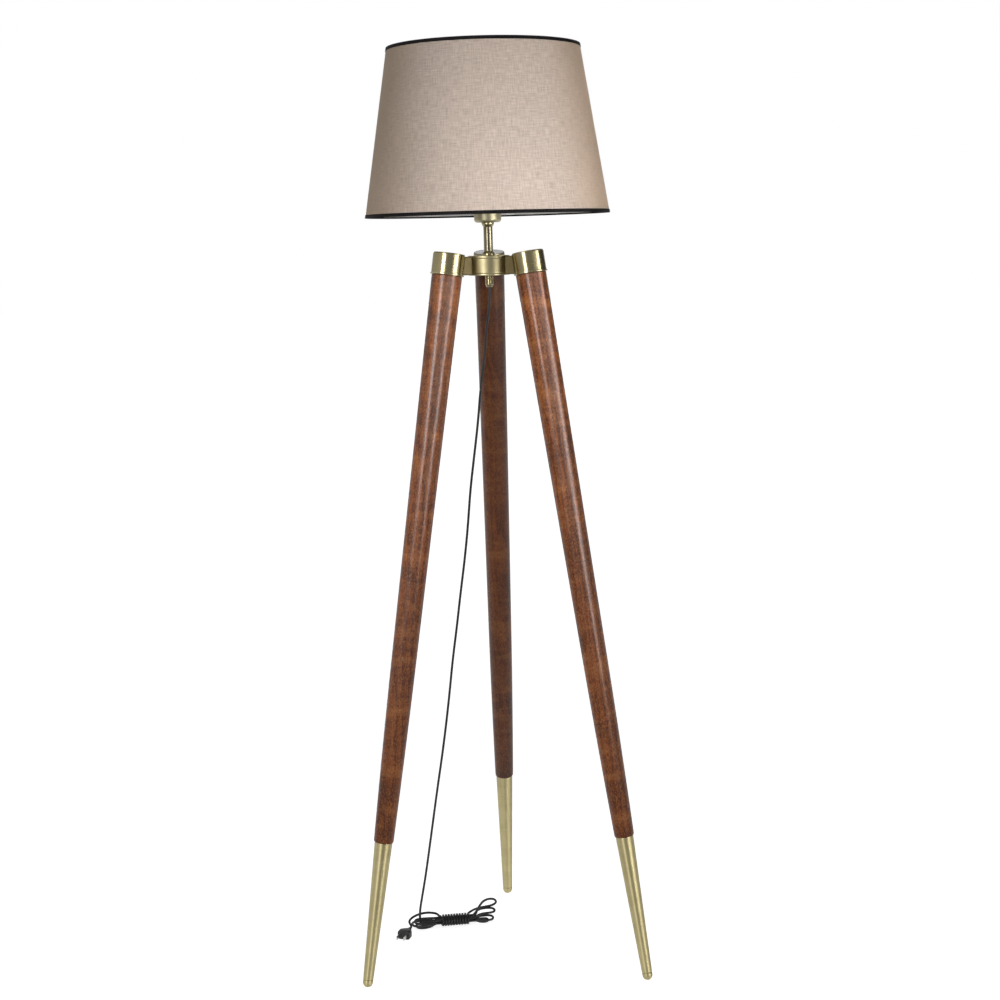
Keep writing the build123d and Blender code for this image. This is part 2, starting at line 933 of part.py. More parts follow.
def tail_route():
    exit_point, exit_way = wrap_stations()[-1]
    return [
        on_hank(exit_point),
        on_hank(exit_point + exit_way * tail_first_run),
        on_hank(Vector(-58, 17, 16.5)),
        on_hank(Vector(-71, 10, 13.5)),
        on_hank(Vector(-76.5, -1, 11)),
        plug_rear - plug_direction * tail_last_run,
        plug_rear,
    ]


# Plug with its strain relief and two flat blades


def plug_frame(distance):
    """Plane square to the plug at a distance along it from the strain relief's end."""
    return Plane(origin=plug_rear + plug_direction * distance, x_dir=(0, 0, 1), z_dir=plug_direction)


def plug_relief():
    rear = plug_frame(0) * Circle(plug_relief_rear_radius)
    front = plug_frame(plug_relief_length) * Circle(plug_relief_front_radius)
    return loft([rear, front])


def plug_body():
    face_at = plug_relief_length + plug_body_length
    rear_section = RectangleRounded(plug_rear_thickness, plug_rear_width, plug_rear_round)
    grip_section = RectangleRounded(plug_body_thickness, plug_body_width, plug_body_round)
    rear = plug_frame(plug_relief_length) * rear_section
    shoulder = plug_frame(face_at - plug_grip_length) * grip_section
    face = plug_frame(face_at) * grip_section
    body = loft([rear, shoulder], ruled=True) + loft([shoulder, face], ruled=True)
    return body - plug_blade_group(running_fit)


def plug_blade_group(grow):
    root_at = plug_relief_length + plug_body_length - blade_root
    section = Rectangle(blade_height + 2 * grow, blade_thickness + 2 * grow)
    blades = []
    for side in (-1, 1):
        root = plug_frame(root_at) * Pos(0, side * blade_spacing / 2) * section
        blades.append(extrude(root, amount=blade_root + blade_length))
    return Compound(children=blades)


def all_nodes():
    nodes = {
        "hub_base_plate": hub_base_plate(),
        "hub_drum": hub_drum(),
        "hub_top_plate": hub_top_plate(),
        "lamp_pipe": lamp_pipe(),
        "hub_lock_nut": lock_nut(hub_drum_bottom),
        "lower_stem_nut": stem_nut(hub_top, 1),
        "stem_sleeve": stem_sleeve(),
        "upper_stem_nut": stem_nut(cup_bottom, -1),
        "cup_lock_nut": lock_nut(cup_bottom + cup_floor),
        "cord_grip": cord_grip(),
        "grip_screw": grip_screw(),
        "inner_flex": inner_flex(),
        "holder_cup": holder_cup(),
        "holder_body": holder_body(),
        "screw_shell": screw_shell(),
        "centre_contact": centre_contact(),
        "bulb_cap": bulb_cap(),
        "bulb_glass": bulb_glass(),
        "shade_skin": shade_skin_cone(),
        "shade_bottom_trim": edge_trim(shade_bottom, 1),
        "shade_top_trim": edge_trim(shade_top, -1),
        "shade_bottom_wire": wire_ring(bottom_wire_height),
        "shade_top_wire": wire_ring(top_wire_height),
        "fitter_ring": fitter_ring(),
        "shade_ring_nut": shade_ring_nut(),
        "cord_drop": cord_tube("cord_drop", drop_route),
        "cord_hank": cord_hank(),
        "cord_tail": cord_tube("cord_tail", tail_route()),
        "plug_relief": plug_relief(),
        "plug_body": plug_body(),
        "plug_blades": plug_blade_group(0),
    }
    per_leg = {
        "foot_tip": foot_tip(),
        "ferrule": ferrule(),
        "leg_shaft": leg_shaft(),
        "leg_stud": leg_stud(),
        "leg_collar": leg_collar(),
        "collar_cap": collar_cap(),
        "collar_neck": collar_neck(),
        "neck_bolt": neck_bolt(),
        "spider_arm": spider_arm(),
    }
    for name, piece in per_leg.items():
        for side, azimuth in leg_azimuths.items():
            nodes[f"{name}_{side}"] = Rot(0, 0, azimuth) * piece
    return nodes


os.makedirs("parts", exist_ok=True)
for name, piece in all_nodes().items():
    piece.label = name
    export_step(piece, f"parts/{name}.step")
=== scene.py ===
import json
import math

import bmesh
import bpy
from mathutils import Matrix, Vector


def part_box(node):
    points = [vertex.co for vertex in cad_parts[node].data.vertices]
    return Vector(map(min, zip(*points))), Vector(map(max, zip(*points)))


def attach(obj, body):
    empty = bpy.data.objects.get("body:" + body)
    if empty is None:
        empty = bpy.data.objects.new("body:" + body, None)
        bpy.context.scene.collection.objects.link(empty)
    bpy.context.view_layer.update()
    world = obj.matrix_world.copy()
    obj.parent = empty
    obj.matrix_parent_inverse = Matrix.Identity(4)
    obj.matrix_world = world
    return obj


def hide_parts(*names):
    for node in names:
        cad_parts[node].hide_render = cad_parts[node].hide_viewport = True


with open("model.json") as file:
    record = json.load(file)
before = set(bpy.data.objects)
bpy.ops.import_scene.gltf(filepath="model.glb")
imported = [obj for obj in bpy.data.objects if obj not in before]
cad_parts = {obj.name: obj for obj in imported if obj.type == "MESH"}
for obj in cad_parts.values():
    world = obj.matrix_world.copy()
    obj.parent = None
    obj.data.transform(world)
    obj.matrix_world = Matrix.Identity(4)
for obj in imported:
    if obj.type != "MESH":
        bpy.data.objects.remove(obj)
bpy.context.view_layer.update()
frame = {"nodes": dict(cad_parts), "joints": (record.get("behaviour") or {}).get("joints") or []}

# Foot tips: small brass glides with a domed end, one under each leg. Each is turned on
# a lathe, screwed into its ferrule with a spigot, and worn flat where it stands.
leg_sides = ("left", "right", "rear")
leg_turns = {joint["child"]: joint for joint in frame["joints"]}
tip_radius = 0.0082
tip_dome_height = 0.007
tip_top = 0.011
tip_neck_radius = 0.0068
ferrule_bottom = 0.012
tip_edge = 0.0005
lathe_steps = 96
corner_angle = math.radians(25)
edge_band = 0.0012
merge_distance = 1e-6
smooth_angle = math.radians(40)


def leg_place(side):
    """Matrix that leans an upright leg over into its place."""
    turn = leg_turns[f"leg_{side}"]
    lean = Vector(turn["axis"]).to_track_quat("Z", "X")
    return Matrix.Translation(turn["pos_m"]) @ lean.to_matrix().to_4x4()


def arc(centre, radius, start, end, steps):
    """Points of an arc in a lathe outline, as (radius, height), with angles in degrees."""
    angles = [math.radians(start + (end - start) * i / steps) for i in range(steps + 1)]
    return [(centre[0] + radius * math.cos(a), centre[1] + radius * math.sin(a)) for a in angles]


def banded(outline, closed):
    """The outline with a point just beside each corner, so that wear stays at the edges."""
    points = [Vector(point) for point in outline]
    pairs = list(zip(points, points[1:] + points[:1])) if closed else list(zip(points, points[1:]))
    dense = []
    for start, end in pairs:
        run = end - start
        dense.append(start)
        if run.length > 3 * edge_band:
            dense.append(start + run.normalized() * edge_band)
            dense.append(end - run.normalized() * edge_band)
    return dense if closed else dense + [points[-1]]


def sharp_edges(shape, angle):
    """Edges of a bmesh where two faces meet at more than an angle."""
    return [run for run in shape.edges if run.is_manifold and run.calc_face_angle() > angle]


def round_edges(shape, edges, offset, segments=3, clamp=False):
    """Rounds edges of a bmesh and returns the new faces."""
    rounded = bmesh.ops.bevel(
        shape, geom=edges, offset=offset, segments=segments, profile=0.5,
        affect="EDGES", material=-1, clamp_overlap=clamp,
    )
    return rounded["faces"]


def lathe(outline, edge, closed=False, steps=lathe_steps):
    """A bmesh spun about Z from an outline; its corners are rounded and marked as worn."""
    shape = bmesh.new()
    wear = shape.verts.layers.float.new("edge_wear")
    points = [shape.verts.new((radius, 0, height)) for radius, height in banded(outline, closed)]
    pairs = list(zip(points, points[1:]))
    if closed:
        pairs.append((points[-1], points[0]))
    runs = [shape.edges.new(pair) for pair in pairs]
    bmesh.ops.spin(
        shape, geom=points + runs, axis=(0, 0, 1), cent=(0, 0, 0),
        angle=math.tau, steps=steps, use_merge=True,
    )
    bmesh.ops.remove_doubles(shape, verts=shape.verts, dist=merge_distance)
    bmesh.ops.recalc_face_normals(shape, faces=shape.faces)
    corners = sharp_edges(shape, corner_angle)
    if edge and corners:
        for face in round_edges(shape, corners, edge, clamp=True):
            for corner in face.verts:
                corner[wear] = 1.0
    return shape


def new_object(name, data):
    """A new object at the scene's origin."""
    made = bpy.data.objects.new(name, data)
    bpy.context.scene.collection.objects.link(made)
    return made


def finish_mesh(name, shape, place=None, grain_shift=(0, 0, 0)):
    """Makes the piece from its bmesh, keeping where each point was on the lathe."""
    lathe_point = shape.verts.layers.float_vector.new("lathe_point")
    around = shape.verts.layers.float_vector.new("around")
    turn = place.to_3x3() if place else Matrix.Identity(3)
    for corner in shape.verts:
        corner[lathe_point] = corner.co + Vector(grain_shift)
        corner[around] = turn @ Vector((-corner.co.y, corner.co.x, 0)).normalized()
    if place:
        bmesh.ops.transform(shape, matrix=place, verts=shape.verts)
    mesh = bpy.data.meshes.new(name)
    shape.to_mesh(mesh)
    shape.free()
    mesh.shade_smooth()
    mesh.set_sharp_from_angle(angle=smooth_angle)
    return new_object(name, mesh)


def fit(piece, material, body, slot, *nodes):
    """Gives a piece its material, its body and the nodes that it stands for."""
    piece.data.materials.append(material)
    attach(piece, body)
    if nodes:
        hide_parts(*nodes)
    return piece


def feed(tree, node, inputs):
    """Puts values, or links from other nodes, on a node's inputs."""
    for name, value in inputs.items():
        if isinstance(value, bpy.types.NodeSocket):
            tree.links.new(value, node.inputs[name])
        else:
            node.inputs[name].default_value = value


def add_node(tree, kind, inputs=None, **settings):
    """Adds a node with its settings and its inputs."""
    made = tree.nodes.new(kind)
    for name, value in settings.items():
        setattr(made, name, value)
    feed(tree, made, inputs or {})
    return made


def attribute(tree, name, output="Vector"):
    """What the mesh keeps under a name at each of its points."""
    return add_node(tree, "ShaderNodeAttribute", attribute_name=name).outputs[output]


def object_point(tree):
    """The point's own place in its piece."""
    return add_node(tree, "ShaderNodeTexCoord").outputs["Object"]


def blend(tree, factor, first, second):
    """Mixes two colours and returns the result's socket."""
    mix = add_node(tree, "ShaderNodeMix", {0: factor, 6: first, 7: second}, data_type="RGBA")
    return mix.outputs[2]


def noise(tree, point, stretch, detail=2.0, roughness=0.5, distortion=0.0, slant=0.0):
    """Noise on a point stretched by a vector, as a value from about 0 to 1."""
    inputs = {"Vector": point, "Rotation": (0, 0, slant), "Scale": stretch}
    spread = add_node(tree, "ShaderNodeMapping", inputs)
    inputs = {
        "Vector": spread.outputs[0], "Scale": 1.0, "Detail": detail,
        "Roughness": roughness, "Distortion": distortion,
    }
    return add_node(tree, "ShaderNodeTexNoise", inputs).outputs["Fac"]


def ramp(tree, value, low, high, to_low=0.0, to_high=1.0):
    """Maps a value from one range to another, clamped."""
    inputs = {
        "Value": value, "From Min": low, "From Max": high, "To Min": to_low, "To Max": to_high,
    }
    return add_node(tree, "ShaderNodeMapRange", inputs).outputs[0]


def maths(tree, operation, first, second):
    """One arithmetic step between two values."""
    return add_node(tree, "ShaderNodeMath", {0: first, 1: second}, operation=operation).outputs[0]


def new_group(name, inputs, outputs):
    """An empty node group with named sockets, and its two end nodes."""
    group = bpy.data.node_groups.new(name, "ShaderNodeTree")
    for end, sockets in (("INPUT", inputs), ("OUTPUT", outputs)):
        for label, kind in sockets.items():
            group.interface.new_socket(label, in_out=end, socket_type=f"NodeSocket{kind}")
    return group, group.nodes.new("NodeGroupInput"), group.nodes.new("NodeGroupOutput")


def turned_brass_group():
    """Lathe lines, cloudy tarnish and paler worn edges, shared by all the brass."""
    group, start, end = new_group(
        "turned_brass",
        {
            "Point": "Vector", "Edge": "Float", "Metal": "Color",
            "Tarnish": "Color", "Roughness": "Float",
        },
        {"Colour": "Color", "Roughness": "Float", "Height": "Float"},
    )
    point = start.outputs["Point"]
    lines = noise(group, point, (30, 30, 3400), detail=3.0)
    clouds = noise(group, point, (38, 38, 26), detail=4.0, roughness=0.62)
    specks = noise(group, point, (700, 700, 700), detail=1.0)
    tarnish = ramp(group, clouds, 0.42, 0.72, 0.0, 0.75)
    stained = blend(group, tarnish, start.outputs["Metal"], start.outputs["Tarnish"])
    lined = blend(group, ramp(group, lines, 0.3, 0.7, 0.0, 0.16), stained, (0.02, 0.017, 0.008, 1))
    patchy = ramp(group, specks, 0.35, 0.6, 0.15, 0.55)
    worn = maths(group, "MULTIPLY", start.outputs["Edge"], patchy)
    bright = blend(group, worn, lined, (0.62, 0.55, 0.32, 1))
    cloudy = ramp(group, clouds, 0.3, 0.7, -0.03, 0.05)
    uneven = maths(group, "ADD", cloudy, ramp(group, lines, 0.2, 0.8, -0.03, 0.03))
    rough = maths(group, "ADD", start.outputs["Roughness"], uneven)
    feed(group, end, {"Colour": bright, "Roughness": rough, "Height": lines})
    return group


brass_detail = turned_brass_group()


def new_material(name):
    """An empty material with a Principled shader, and its node tree."""
    material = bpy.data.materials.new(name)
    material.use_nodes = True
    tree = material.node_tree
    return material, tree, tree.nodes["Principled BSDF"]


def bump(tree, shader, height, depth, strength):
    """Feeds a height to the shader's normal, with its depth in metres."""
    inputs = {"Height": height, "Distance": depth, "Strength": strength}
    feed(tree, shader, {"Normal": add_node(tree, "ShaderNodeBump", inputs).outputs[0]})


def brass_look(tree, shader, inputs, line_strength):
    """Feeds a shader from the shared brass group."""
    detail = add_node(tree, "ShaderNodeGroup", inputs, node_tree=brass_detail).outputs
    feed(tree, shader, {
        "Base Color": detail["Colour"], "Roughness": detail["Roughness"], "Metallic": 1.0,
    })
    bump(tree, shader, detail["Height"], 0.00002, line_strength)


def brass(name, metal, tarnish, roughness, streak):
    """Antique brass that reads its own lathe work, whose fine grooves streak the light."""
    material, tree, shader = new_material(name)
    inputs = {
        "Point": attribute(tree, "lathe_point"), "Edge": attribute(tree, "edge_wear", "Fac"),
        "Metal": metal, "Tarnish": tarnish, "Roughness": roughness,
    }
    brass_look(tree, shader, inputs, 0.5)
    laid = add_node(
        tree, "ShaderNodeVectorTransform", {"Vector": attribute(tree, "around")},
        vector_type="VECTOR", convert_from="OBJECT", convert_to="WORLD",
    )
    feed(tree, shader, {
        "Tangent": laid.outputs[0], "Anisotropic": streak, "Anisotropic Rotation": 0.25,
    })
    return material


pale_brass = brass("pale_brass", (0.63, 0.55, 0.30, 1), (0.515, 0.44, 0.23, 1), 0.42, 0.85)
tip_outline = [(0, tip_dome_height - tip_radius)]
tip_outline += arc((0, tip_dome_height), tip_radius, -80, 0, 10)
tip_outline += [
    (tip_radius, tip_top),
    (tip_neck_radius, tip_top),
    (tip_neck_radius, ferrule_bottom),
    (0, ferrule_bottom),
]
for side in leg_sides:
    tip = lathe(tip_outline, tip_edge)
    bmesh.ops.transform(tip, matrix=leg_place(side), verts=tip.verts)
    worn = bmesh.ops.bisect_plane(
        tip, geom=tip.verts[:] + tip.edges[:] + tip.faces[:],
        plane_co=(0, 0, 0), plane_no=(0, 0, 1), clear_inner=True,
    )
    rim = [run for run in worn["geom_cut"] if isinstance(run, bmesh.types.BMEdge)]
    bmesh.ops.holes_fill(tip, edges=rim)
    bmesh.ops.transform(tip, matrix=leg_place(side).inverted(), verts=tip.verts)
    piece = finish_mesh(f"foot_{side}", tip, leg_place(side))
    fit(piece, pale_brass, f"leg_{side}", "antique_brass", f"foot_tip_{side}")

# Ferrules: long tapered brass sleeves on the lower ends of the legs. Each is spun
# from sheet, brushed along with the lathe, and glued over the shaft's tenon.
ferrule_top = 0.2352
ferrule_bottom_radius = 0.0083
ferrule_top_radius = 0.0143
ferrule_wall = 0.0016
ferrule_edge = 0.0005
ferrule_outline = [
    (tip_neck_radius - ferrule_wall, ferrule_bottom),
    (ferrule_bottom_radius, ferrule_bottom),
    (ferrule_top_radius, ferrule_top),
    (ferrule_top_radius - ferrule_wall, ferrule_top),
]
for side in leg_sides:
    ferrule = lathe(ferrule_outline, ferrule_edge, closed=True)
    piece = finish_mesh(f"ferrule_sleeve_{side}", ferrule, leg_place(side))
    fit(piece, pale_brass, f"leg_{side}", "antique_brass", f"ferrule_{side}")

# Leg shafts: turned beech with a slow taper that quickens above the ferrule. The wood
# is stained red-brown, so its grain and curl show, and finished with clear lacquer.
shaft_top = 1.1403
shaft_top_radius = 0.024
shaft_knee_radius = 0.020
shaft_knee_height = 0.5312
shaft_bottom_radius = 0.0159
shaft_shoulder = 0.0025
shaft_edge = 0.0012
knee_steps = 14
rings_per_metre = 130.0
grain_shifts = {"left": (0.0, 0.0, 0.0), "right": (0.31, 0.17, 0.6), "rear": (0.63, 0.42, 1.3)}


def shaft_outline():
    """Shoulder on the ferrule, a bend up to the knee, then a straight taper to the top."""
    slope = (shaft_top_radius - shaft_knee_radius) / (shaft_top - shaft_knee_height)
    low = Vector((shaft_bottom_radius, ferrule_top + shaft_shoulder))
    knee = Vector((shaft_knee_radius, shaft_knee_height))
    middle_height = (low.y + knee.y) / 2
    middle = Vector((knee.x - slope * (knee.y - middle_height), middle_height))
    bend = []
    for i in range(knee_steps + 1):
        share = i / knee_steps
        bend.append(low.lerp(middle, share).lerp(middle.lerp(knee, share), share))
    shoulder = arc((low.x - shaft_shoulder, low.y), shaft_shoulder, -90, -10, 4)
    tenon = ferrule_top_radius - ferrule_wall
    points = [(0, ferrule_top), (tenon, ferrule_top)] + shoulder + [tuple(point) for point in bend]
    return points + [(shaft_top_radius, shaft_top), (0, shaft_top)]


def stained_wood(name, painted_shade_depth):
    """Growth rings cut lengthwise, pores, curl across the grain, a lacquer coat, and a painted
    shade that darkens the whole leg.
    """
    material, tree, shader = new_material(name)
    point = attribute(tree, "lathe_point")
    drift = noise(tree, point, (14, 14, 2.6))
    flames = noise(tree, point, (64, 64, 13), detail=3.0, roughness=0.6)
    pith = add_node(
        tree, "ShaderNodeMapping",
        {"Vector": point, "Location": (0.052, 0.031, 0), "Rotation": (0.035, -0.022, 0)},
    )
    inputs = {0: pith.outputs[0], 1: (1, 1, 0)}
    flat = add_node(tree, "ShaderNodeVectorMath", inputs, operation="MULTIPLY")
    reach = add_node(tree, "ShaderNodeVectorMath", {0: flat.outputs[0]}, operation="LENGTH")
    warped = maths(tree, "ADD", reach.outputs["Value"], ramp(tree, drift, 0.0, 1.0, -0.02, 0.02))
    warped = maths(tree, "ADD", warped, ramp(tree, flames, 0.0, 1.0, -0.007, 0.007))
    rings = maths(tree, "FRACT", maths(tree, "MULTIPLY", warped, rings_per_metre), 0.0)
    late = ramp(tree, rings, 0.35, 0.97)
    pores = noise(tree, point, (620, 620, 300), roughness=0.6)
    fibre = noise(tree, point, (330, 330, 34), detail=4.0, roughness=0.65)
    curl = noise(tree, point, (9, 9, 24), detail=3.0, roughness=0.6, distortion=0.5)
    ripple = noise(tree, point, (30, 30, 95))
    stain = noise(tree, point, (18, 18, 6), detail=3.0)
    base = blend(tree, late, (0.345, 0.094, 0.018, 1), (0.15, 0.037, 0.009, 1))
    layers = (
        (fibre, 0.4, 0.66, 0.6, (0.125, 0.036, 0.011, 1)),
        (curl, 0.5, 0.68, 0.65, (0.49, 0.165, 0.037, 1)),
        (ripple, 0.56, 0.72, 0.35, (0.51, 0.19, 0.048, 1)),
        (curl, 0.47, 0.32, 0.55, (0.085, 0.026, 0.009, 1)),
        (stain, 0.48, 0.72, 0.55, (0.10, 0.03, 0.011, 1)),
        (pores, 0.54, 0.66, 0.75, (0.05, 0.016, 0.008, 1)),
        (pores, 0.44, 0.34, 0.5, (0.57, 0.21, 0.06, 1)),
    )
    for figure, low, high, depth, colour in layers:
        base = blend(tree, ramp(tree, figure, low, high, 0.0, depth), base, colour)
    edge = attribute(tree, "edge_wear", "Fac")
    base = blend(tree, maths(tree, "MULTIPLY", edge, 0.6), base, (0.045, 0.015, 0.009, 1))
    # Painted shade: darkens the whole leg by this depth, so that the leg looks as if it stood in
    # shade.
    base = blend(tree, painted_shade_depth, base, (0.05, 0.02, 0.011, 1))
    feed(tree, shader, {
        "Base Color": base, "Roughness": ramp(tree, fibre, 0.3, 0.7, 0.4, 0.52),
        "Specular IOR Level": 0.12, "Coat Weight": 0.6, "Coat Roughness": 0.25,
    })
    open_pores = ramp(tree, pores, 0.54, 0.66, 0.0, 0.75)
    bump(tree, shader, maths(tree, "SUBTRACT", late, open_pores), 0.00008, 0.25)
    return material


# Painted shade per leg: the rear leg is darkened most, as it would look in shade behind the front
# legs.
painted_shade_depths = {"left": 0.05, "right": 0.0, "rear": 0.62}
for side in leg_sides:
    leg_wood = stained_wood(f"stained_and_shaded_beech_{side}", painted_shade_depths[side])
    shaft = lathe(shaft_outline(), shaft_edge)
    piece = finish_mesh(f"shaft_{side}", shaft, leg_place(side), grain_shifts[side])
    fit(piece, leg_wood, f"leg_{side}", "stained_wood", f"leg_shaft_{side}")

# Leg collars: brass cups that take the tops of the legs, with a small lip below and a
# thin groove at the top, painted near black as its shadow. Studs hold the legs in them, bolts hold
# them to the hub.
collar_bottom = 1.1406
collar_top = 1.1749
collar_radius = 0.0254
collar_lip_radius = 0.0265
collar_lip_height = 0.0022
collar_rim_height = 0.0017
collar_rim_inset = 0.0009
cap_radius = 0.0232
cap_thickness = 0.0016
cap_crown = 0.0002
collar_edge = 0.0004
stud_hole_radius = 0.005
collar_outline = [
    (stud_hole_radius, collar_bottom),
    (collar_lip_radius, collar_bottom),
    (collar_lip_radius, collar_bottom + collar_lip_height),
    (collar_radius, collar_bottom + collar_lip_height),
    (collar_radius, collar_top - collar_rim_height),
    (collar_radius - collar_rim_inset, collar_top - collar_rim_height),
    (collar_radius - collar_rim_inset, collar_top),
    (cap_radius, collar_top),
    (cap_radius, collar_top - cap_thickness),
    (stud_hole_radius, collar_top - cap_thickness),
]
cap_outline = [
    (0, collar_top - cap_thickness),
    (cap_radius, collar_top - cap_thickness),
    (cap_radius, collar_top - cap_crown),
    (0, collar_top),
]
cast_brass = brass("cast_brass", (0.385, 0.325, 0.185, 1), (0.295, 0.245, 0.125, 1), 0.24, 0.7)
# Painted shade: the groove at the collar's top gets this near-black brass to stand in for the
# shadow in it.
groove_shadow_brass = brass("groove_shadow_brass", (0.14, 0.105, 0.05, 1), (0.085, 0.062, 0.028, 1), 0.4, 0.3)


def plain_material(
    name, patches, grain, colours, fade, gloss, relief, fine_gloss=False, extra=None,
):
    """Patches mix two colours and vary the gloss; a finer grain gives relief, or fine gloss."""
    material, tree, shader = new_material(name)
    point = object_point(tree)
    mottle = noise(tree, point, *patches)
    fine = noise(tree, point, *grain)
    feed(tree, shader, {
        "Base Color": blend(tree, ramp(tree, mottle, *fade), *colours),
        "Roughness": ramp(tree, fine if fine_gloss else mottle, *gloss),
    })
    feed(tree, shader, extra or {})
    bump(tree, shader, fine, *relief)
    return material


def plated_steel(name, colour, roughness):
    """Plated steel with fine drawn lines, for the fastenings and other small metal."""
    dull = tuple(0.72 * part for part in colour[:3]) + (1,)
    return plain_material(
        name, ((120, 120, 120), 3.0), ((900, 900, 160), 2.0), (colour, dull),
        fade=(0.4, 0.7, 0.0, 0.6), gloss=(0.2, 0.8, roughness - 0.07, roughness + 0.08),
        relief=(0.00002, 0.4), fine_gloss=True, extra={"Metallic": 1.0},
    )


zinc = plated_steel("zinc_plate", (0.66, 0.66, 0.65, 1), 0.32)
pale_disc = plated_steel("pale_disc", (0.92, 0.92, 0.91, 1), 0.36)


def dress(material, *nodes):
    """Gives CAD nodes whose shape is right their finished material."""
    for name in nodes:
        slots = frame["nodes"][name].data.materials
        slots.clear()
        slots.append(material)


for side in leg_sides:
    collar = lathe(collar_outline, collar_edge, closed=True)
    for face in collar.faces:
        middle = face.calc_center_median()
        on_rim = middle.z > collar_top - collar_rim_height and middle.xy.length > cap_radius
        face.material_index = 1 if on_rim else 0
    piece = finish_mesh(f"collar_{side}", collar, leg_place(side))
    fit(piece, cast_brass, "stand", "antique_brass", f"leg_collar_{side}")
    piece.data.materials.append(groove_shadow_brass)
    piece = finish_mesh(f"cap_disc_{side}", lathe(cap_outline, collar_edge), leg_place(side))
    fit(piece, pale_disc, "stand", "pale_metal", f"collar_cap_{side}")
    dress(zinc, f"leg_stud_{side}", f"neck_bolt_{side}")

# Hub: a turned brass drum between a base plate and a top plate, with a fine groove
# between them. Necks join it to the collars, and the lamp pipe clamps it together.
hub_edge = 0.0005
hub_groove = 0.0007
hub_wall = 0.007


def plate_outline(node, hole, groove_below=0.0, groove_above=0.0):
    """Outline of a round plate that fills a node's box, drawn in at a groove."""
    low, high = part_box(node)
    radius = high[0]
    points = [(hole, low[2]), (radius - groove_below, low[2])]
    points += [(radius, low[2] + groove_below)] if groove_below else []
    points += [(radius, high[2] - groove_above)] if groove_above else []
    return points + [(radius - groove_above, high[2]), (hole, high[2])]


pipe_hole = 0.00505
hub_wall_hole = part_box("hub_drum")[1][0] - hub_wall
hub_outlines = {
    "hub_base_plate": plate_outline("hub_base_plate", pipe_hole),
    "hub_drum": plate_outline("hub_drum", hub_wall_hole, hub_groove, hub_groove),
    "hub_top_plate": plate_outline("hub_top_plate", pipe_hole),
}
satin_brass = brass("satin_brass", (0.42, 0.365, 0.215, 1), (0.325, 0.28, 0.155, 1), 0.42, 0.3)
for node, outline in hub_outlines.items():
    piece = finish_mesh(f"{node}_turned", lathe(outline, hub_edge, closed=True))
    fit(piece, satin_brass, "stand", "antique_brass", node)


def cast_neck_brass():
    """Brass of the cast necks, on object coordinates, with cloudy tarnish, its colour painted dark
    as the shade between the hub and the collars.
    """
    material, tree, shader = new_material("shade_dark_neck_brass")
    inputs = {
        # Painted shade: this metal is far darker than the other brass, standing in for the shade
        # on the necks.
        "Point": object_point(tree), "Edge": 0.0, "Metal": (0.15, 0.12, 0.06, 1),
        "Tarnish": (0.10, 0.076, 0.034, 1), "Roughness": 0.5,
    }
    brass_look(tree, shader, inputs, 0.4)
    return material


shade_dark_neck_brass = cast_neck_brass()
for side in leg_sides:
    dress(shade_dark_neck_brass, f"collar_neck_{side}")
dress(zinc, "hub_lock_nut", "cup_lock_nut")
dress(shade_dark_neck_brass, "lamp_pipe", "screw_shell", "centre_contact")

# Stem: a brass sleeve over the threaded lamp pipe, held between two flared nuts.
# The lower nut stands on the hub and the upper one carries the lampholder's cup.
stem_edge = 0.0004
nut_band = 0.0026
nut_chamfer = 0.0012
sleeve_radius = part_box("stem_sleeve")[1][0]
sleeve = lathe(plate_outline("stem_sleeve", pipe_hole), stem_edge, closed=True)
piece = finish_mesh("stem_tube", sleeve)
stem_brass = brass("stem_brass", (0.255, 0.222, 0.15, 1), (0.20, 0.168, 0.107, 1), 0.28, 0.7)
fit(piece, stem_brass, "stand", "antique_brass", "stem_sleeve")
for node, upside in (("lower_stem_nut", 1), ("upper_stem_nut", -1)):
    low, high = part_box(node)
    seat, tip = (low[2], high[2]) if upside > 0 else (high[2], low[2])
    wide = high[0]
    nut_outline = [
        (pipe_hole, seat),
        (wide, seat),
        (wide, seat + upside * nut_band),
        (sleeve_radius + nut_chamfer, tip - upside * nut_chamfer),
        (sleeve_radius, tip),
        (pipe_hole, tip),
    ]
    piece = finish_mesh(f"{node}_turned", lathe(nut_outline, stem_edge, closed=True))
    fit(piece, cast_brass, "stand", "antique_brass", node)

# Cord grip: a short brass bush screwed on the pipe's lower end, with a tapered nose
# and a clamp screw in its side that pinches the cord.
grip_low, grip_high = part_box("cord_grip")
grip_radius = grip_high[0]
grip_nose_radius = 0.0046
grip_nose_height = 0.004
grip_hole = 0.0023
grip_groove = 0.0005
grip_groove_at = 0.006
grip_outline = [
    (grip_hole, grip_low[2]),
    (grip_nose_radius, grip_low[2]),
    (grip_radius, grip_low[2] + grip_nose_height),
    (grip_radius, grip_high[2] - grip_groove_at),
    (grip_radius - grip_groove, grip_high[2] - grip_groove_at + grip_groove),
    (grip_radius, grip_high[2] - grip_groove_at + 2 * grip_groove),
    (grip_radius, grip_high[2]),
    (grip_hole, grip_high[2]),
]
piece = finish_mesh("cord_grip_turned", lathe(grip_outline, stem_edge, closed=True))
fit(piece, cast_brass, "stand", "antique_brass", "cord_grip")
dress(zinc, "grip_screw")

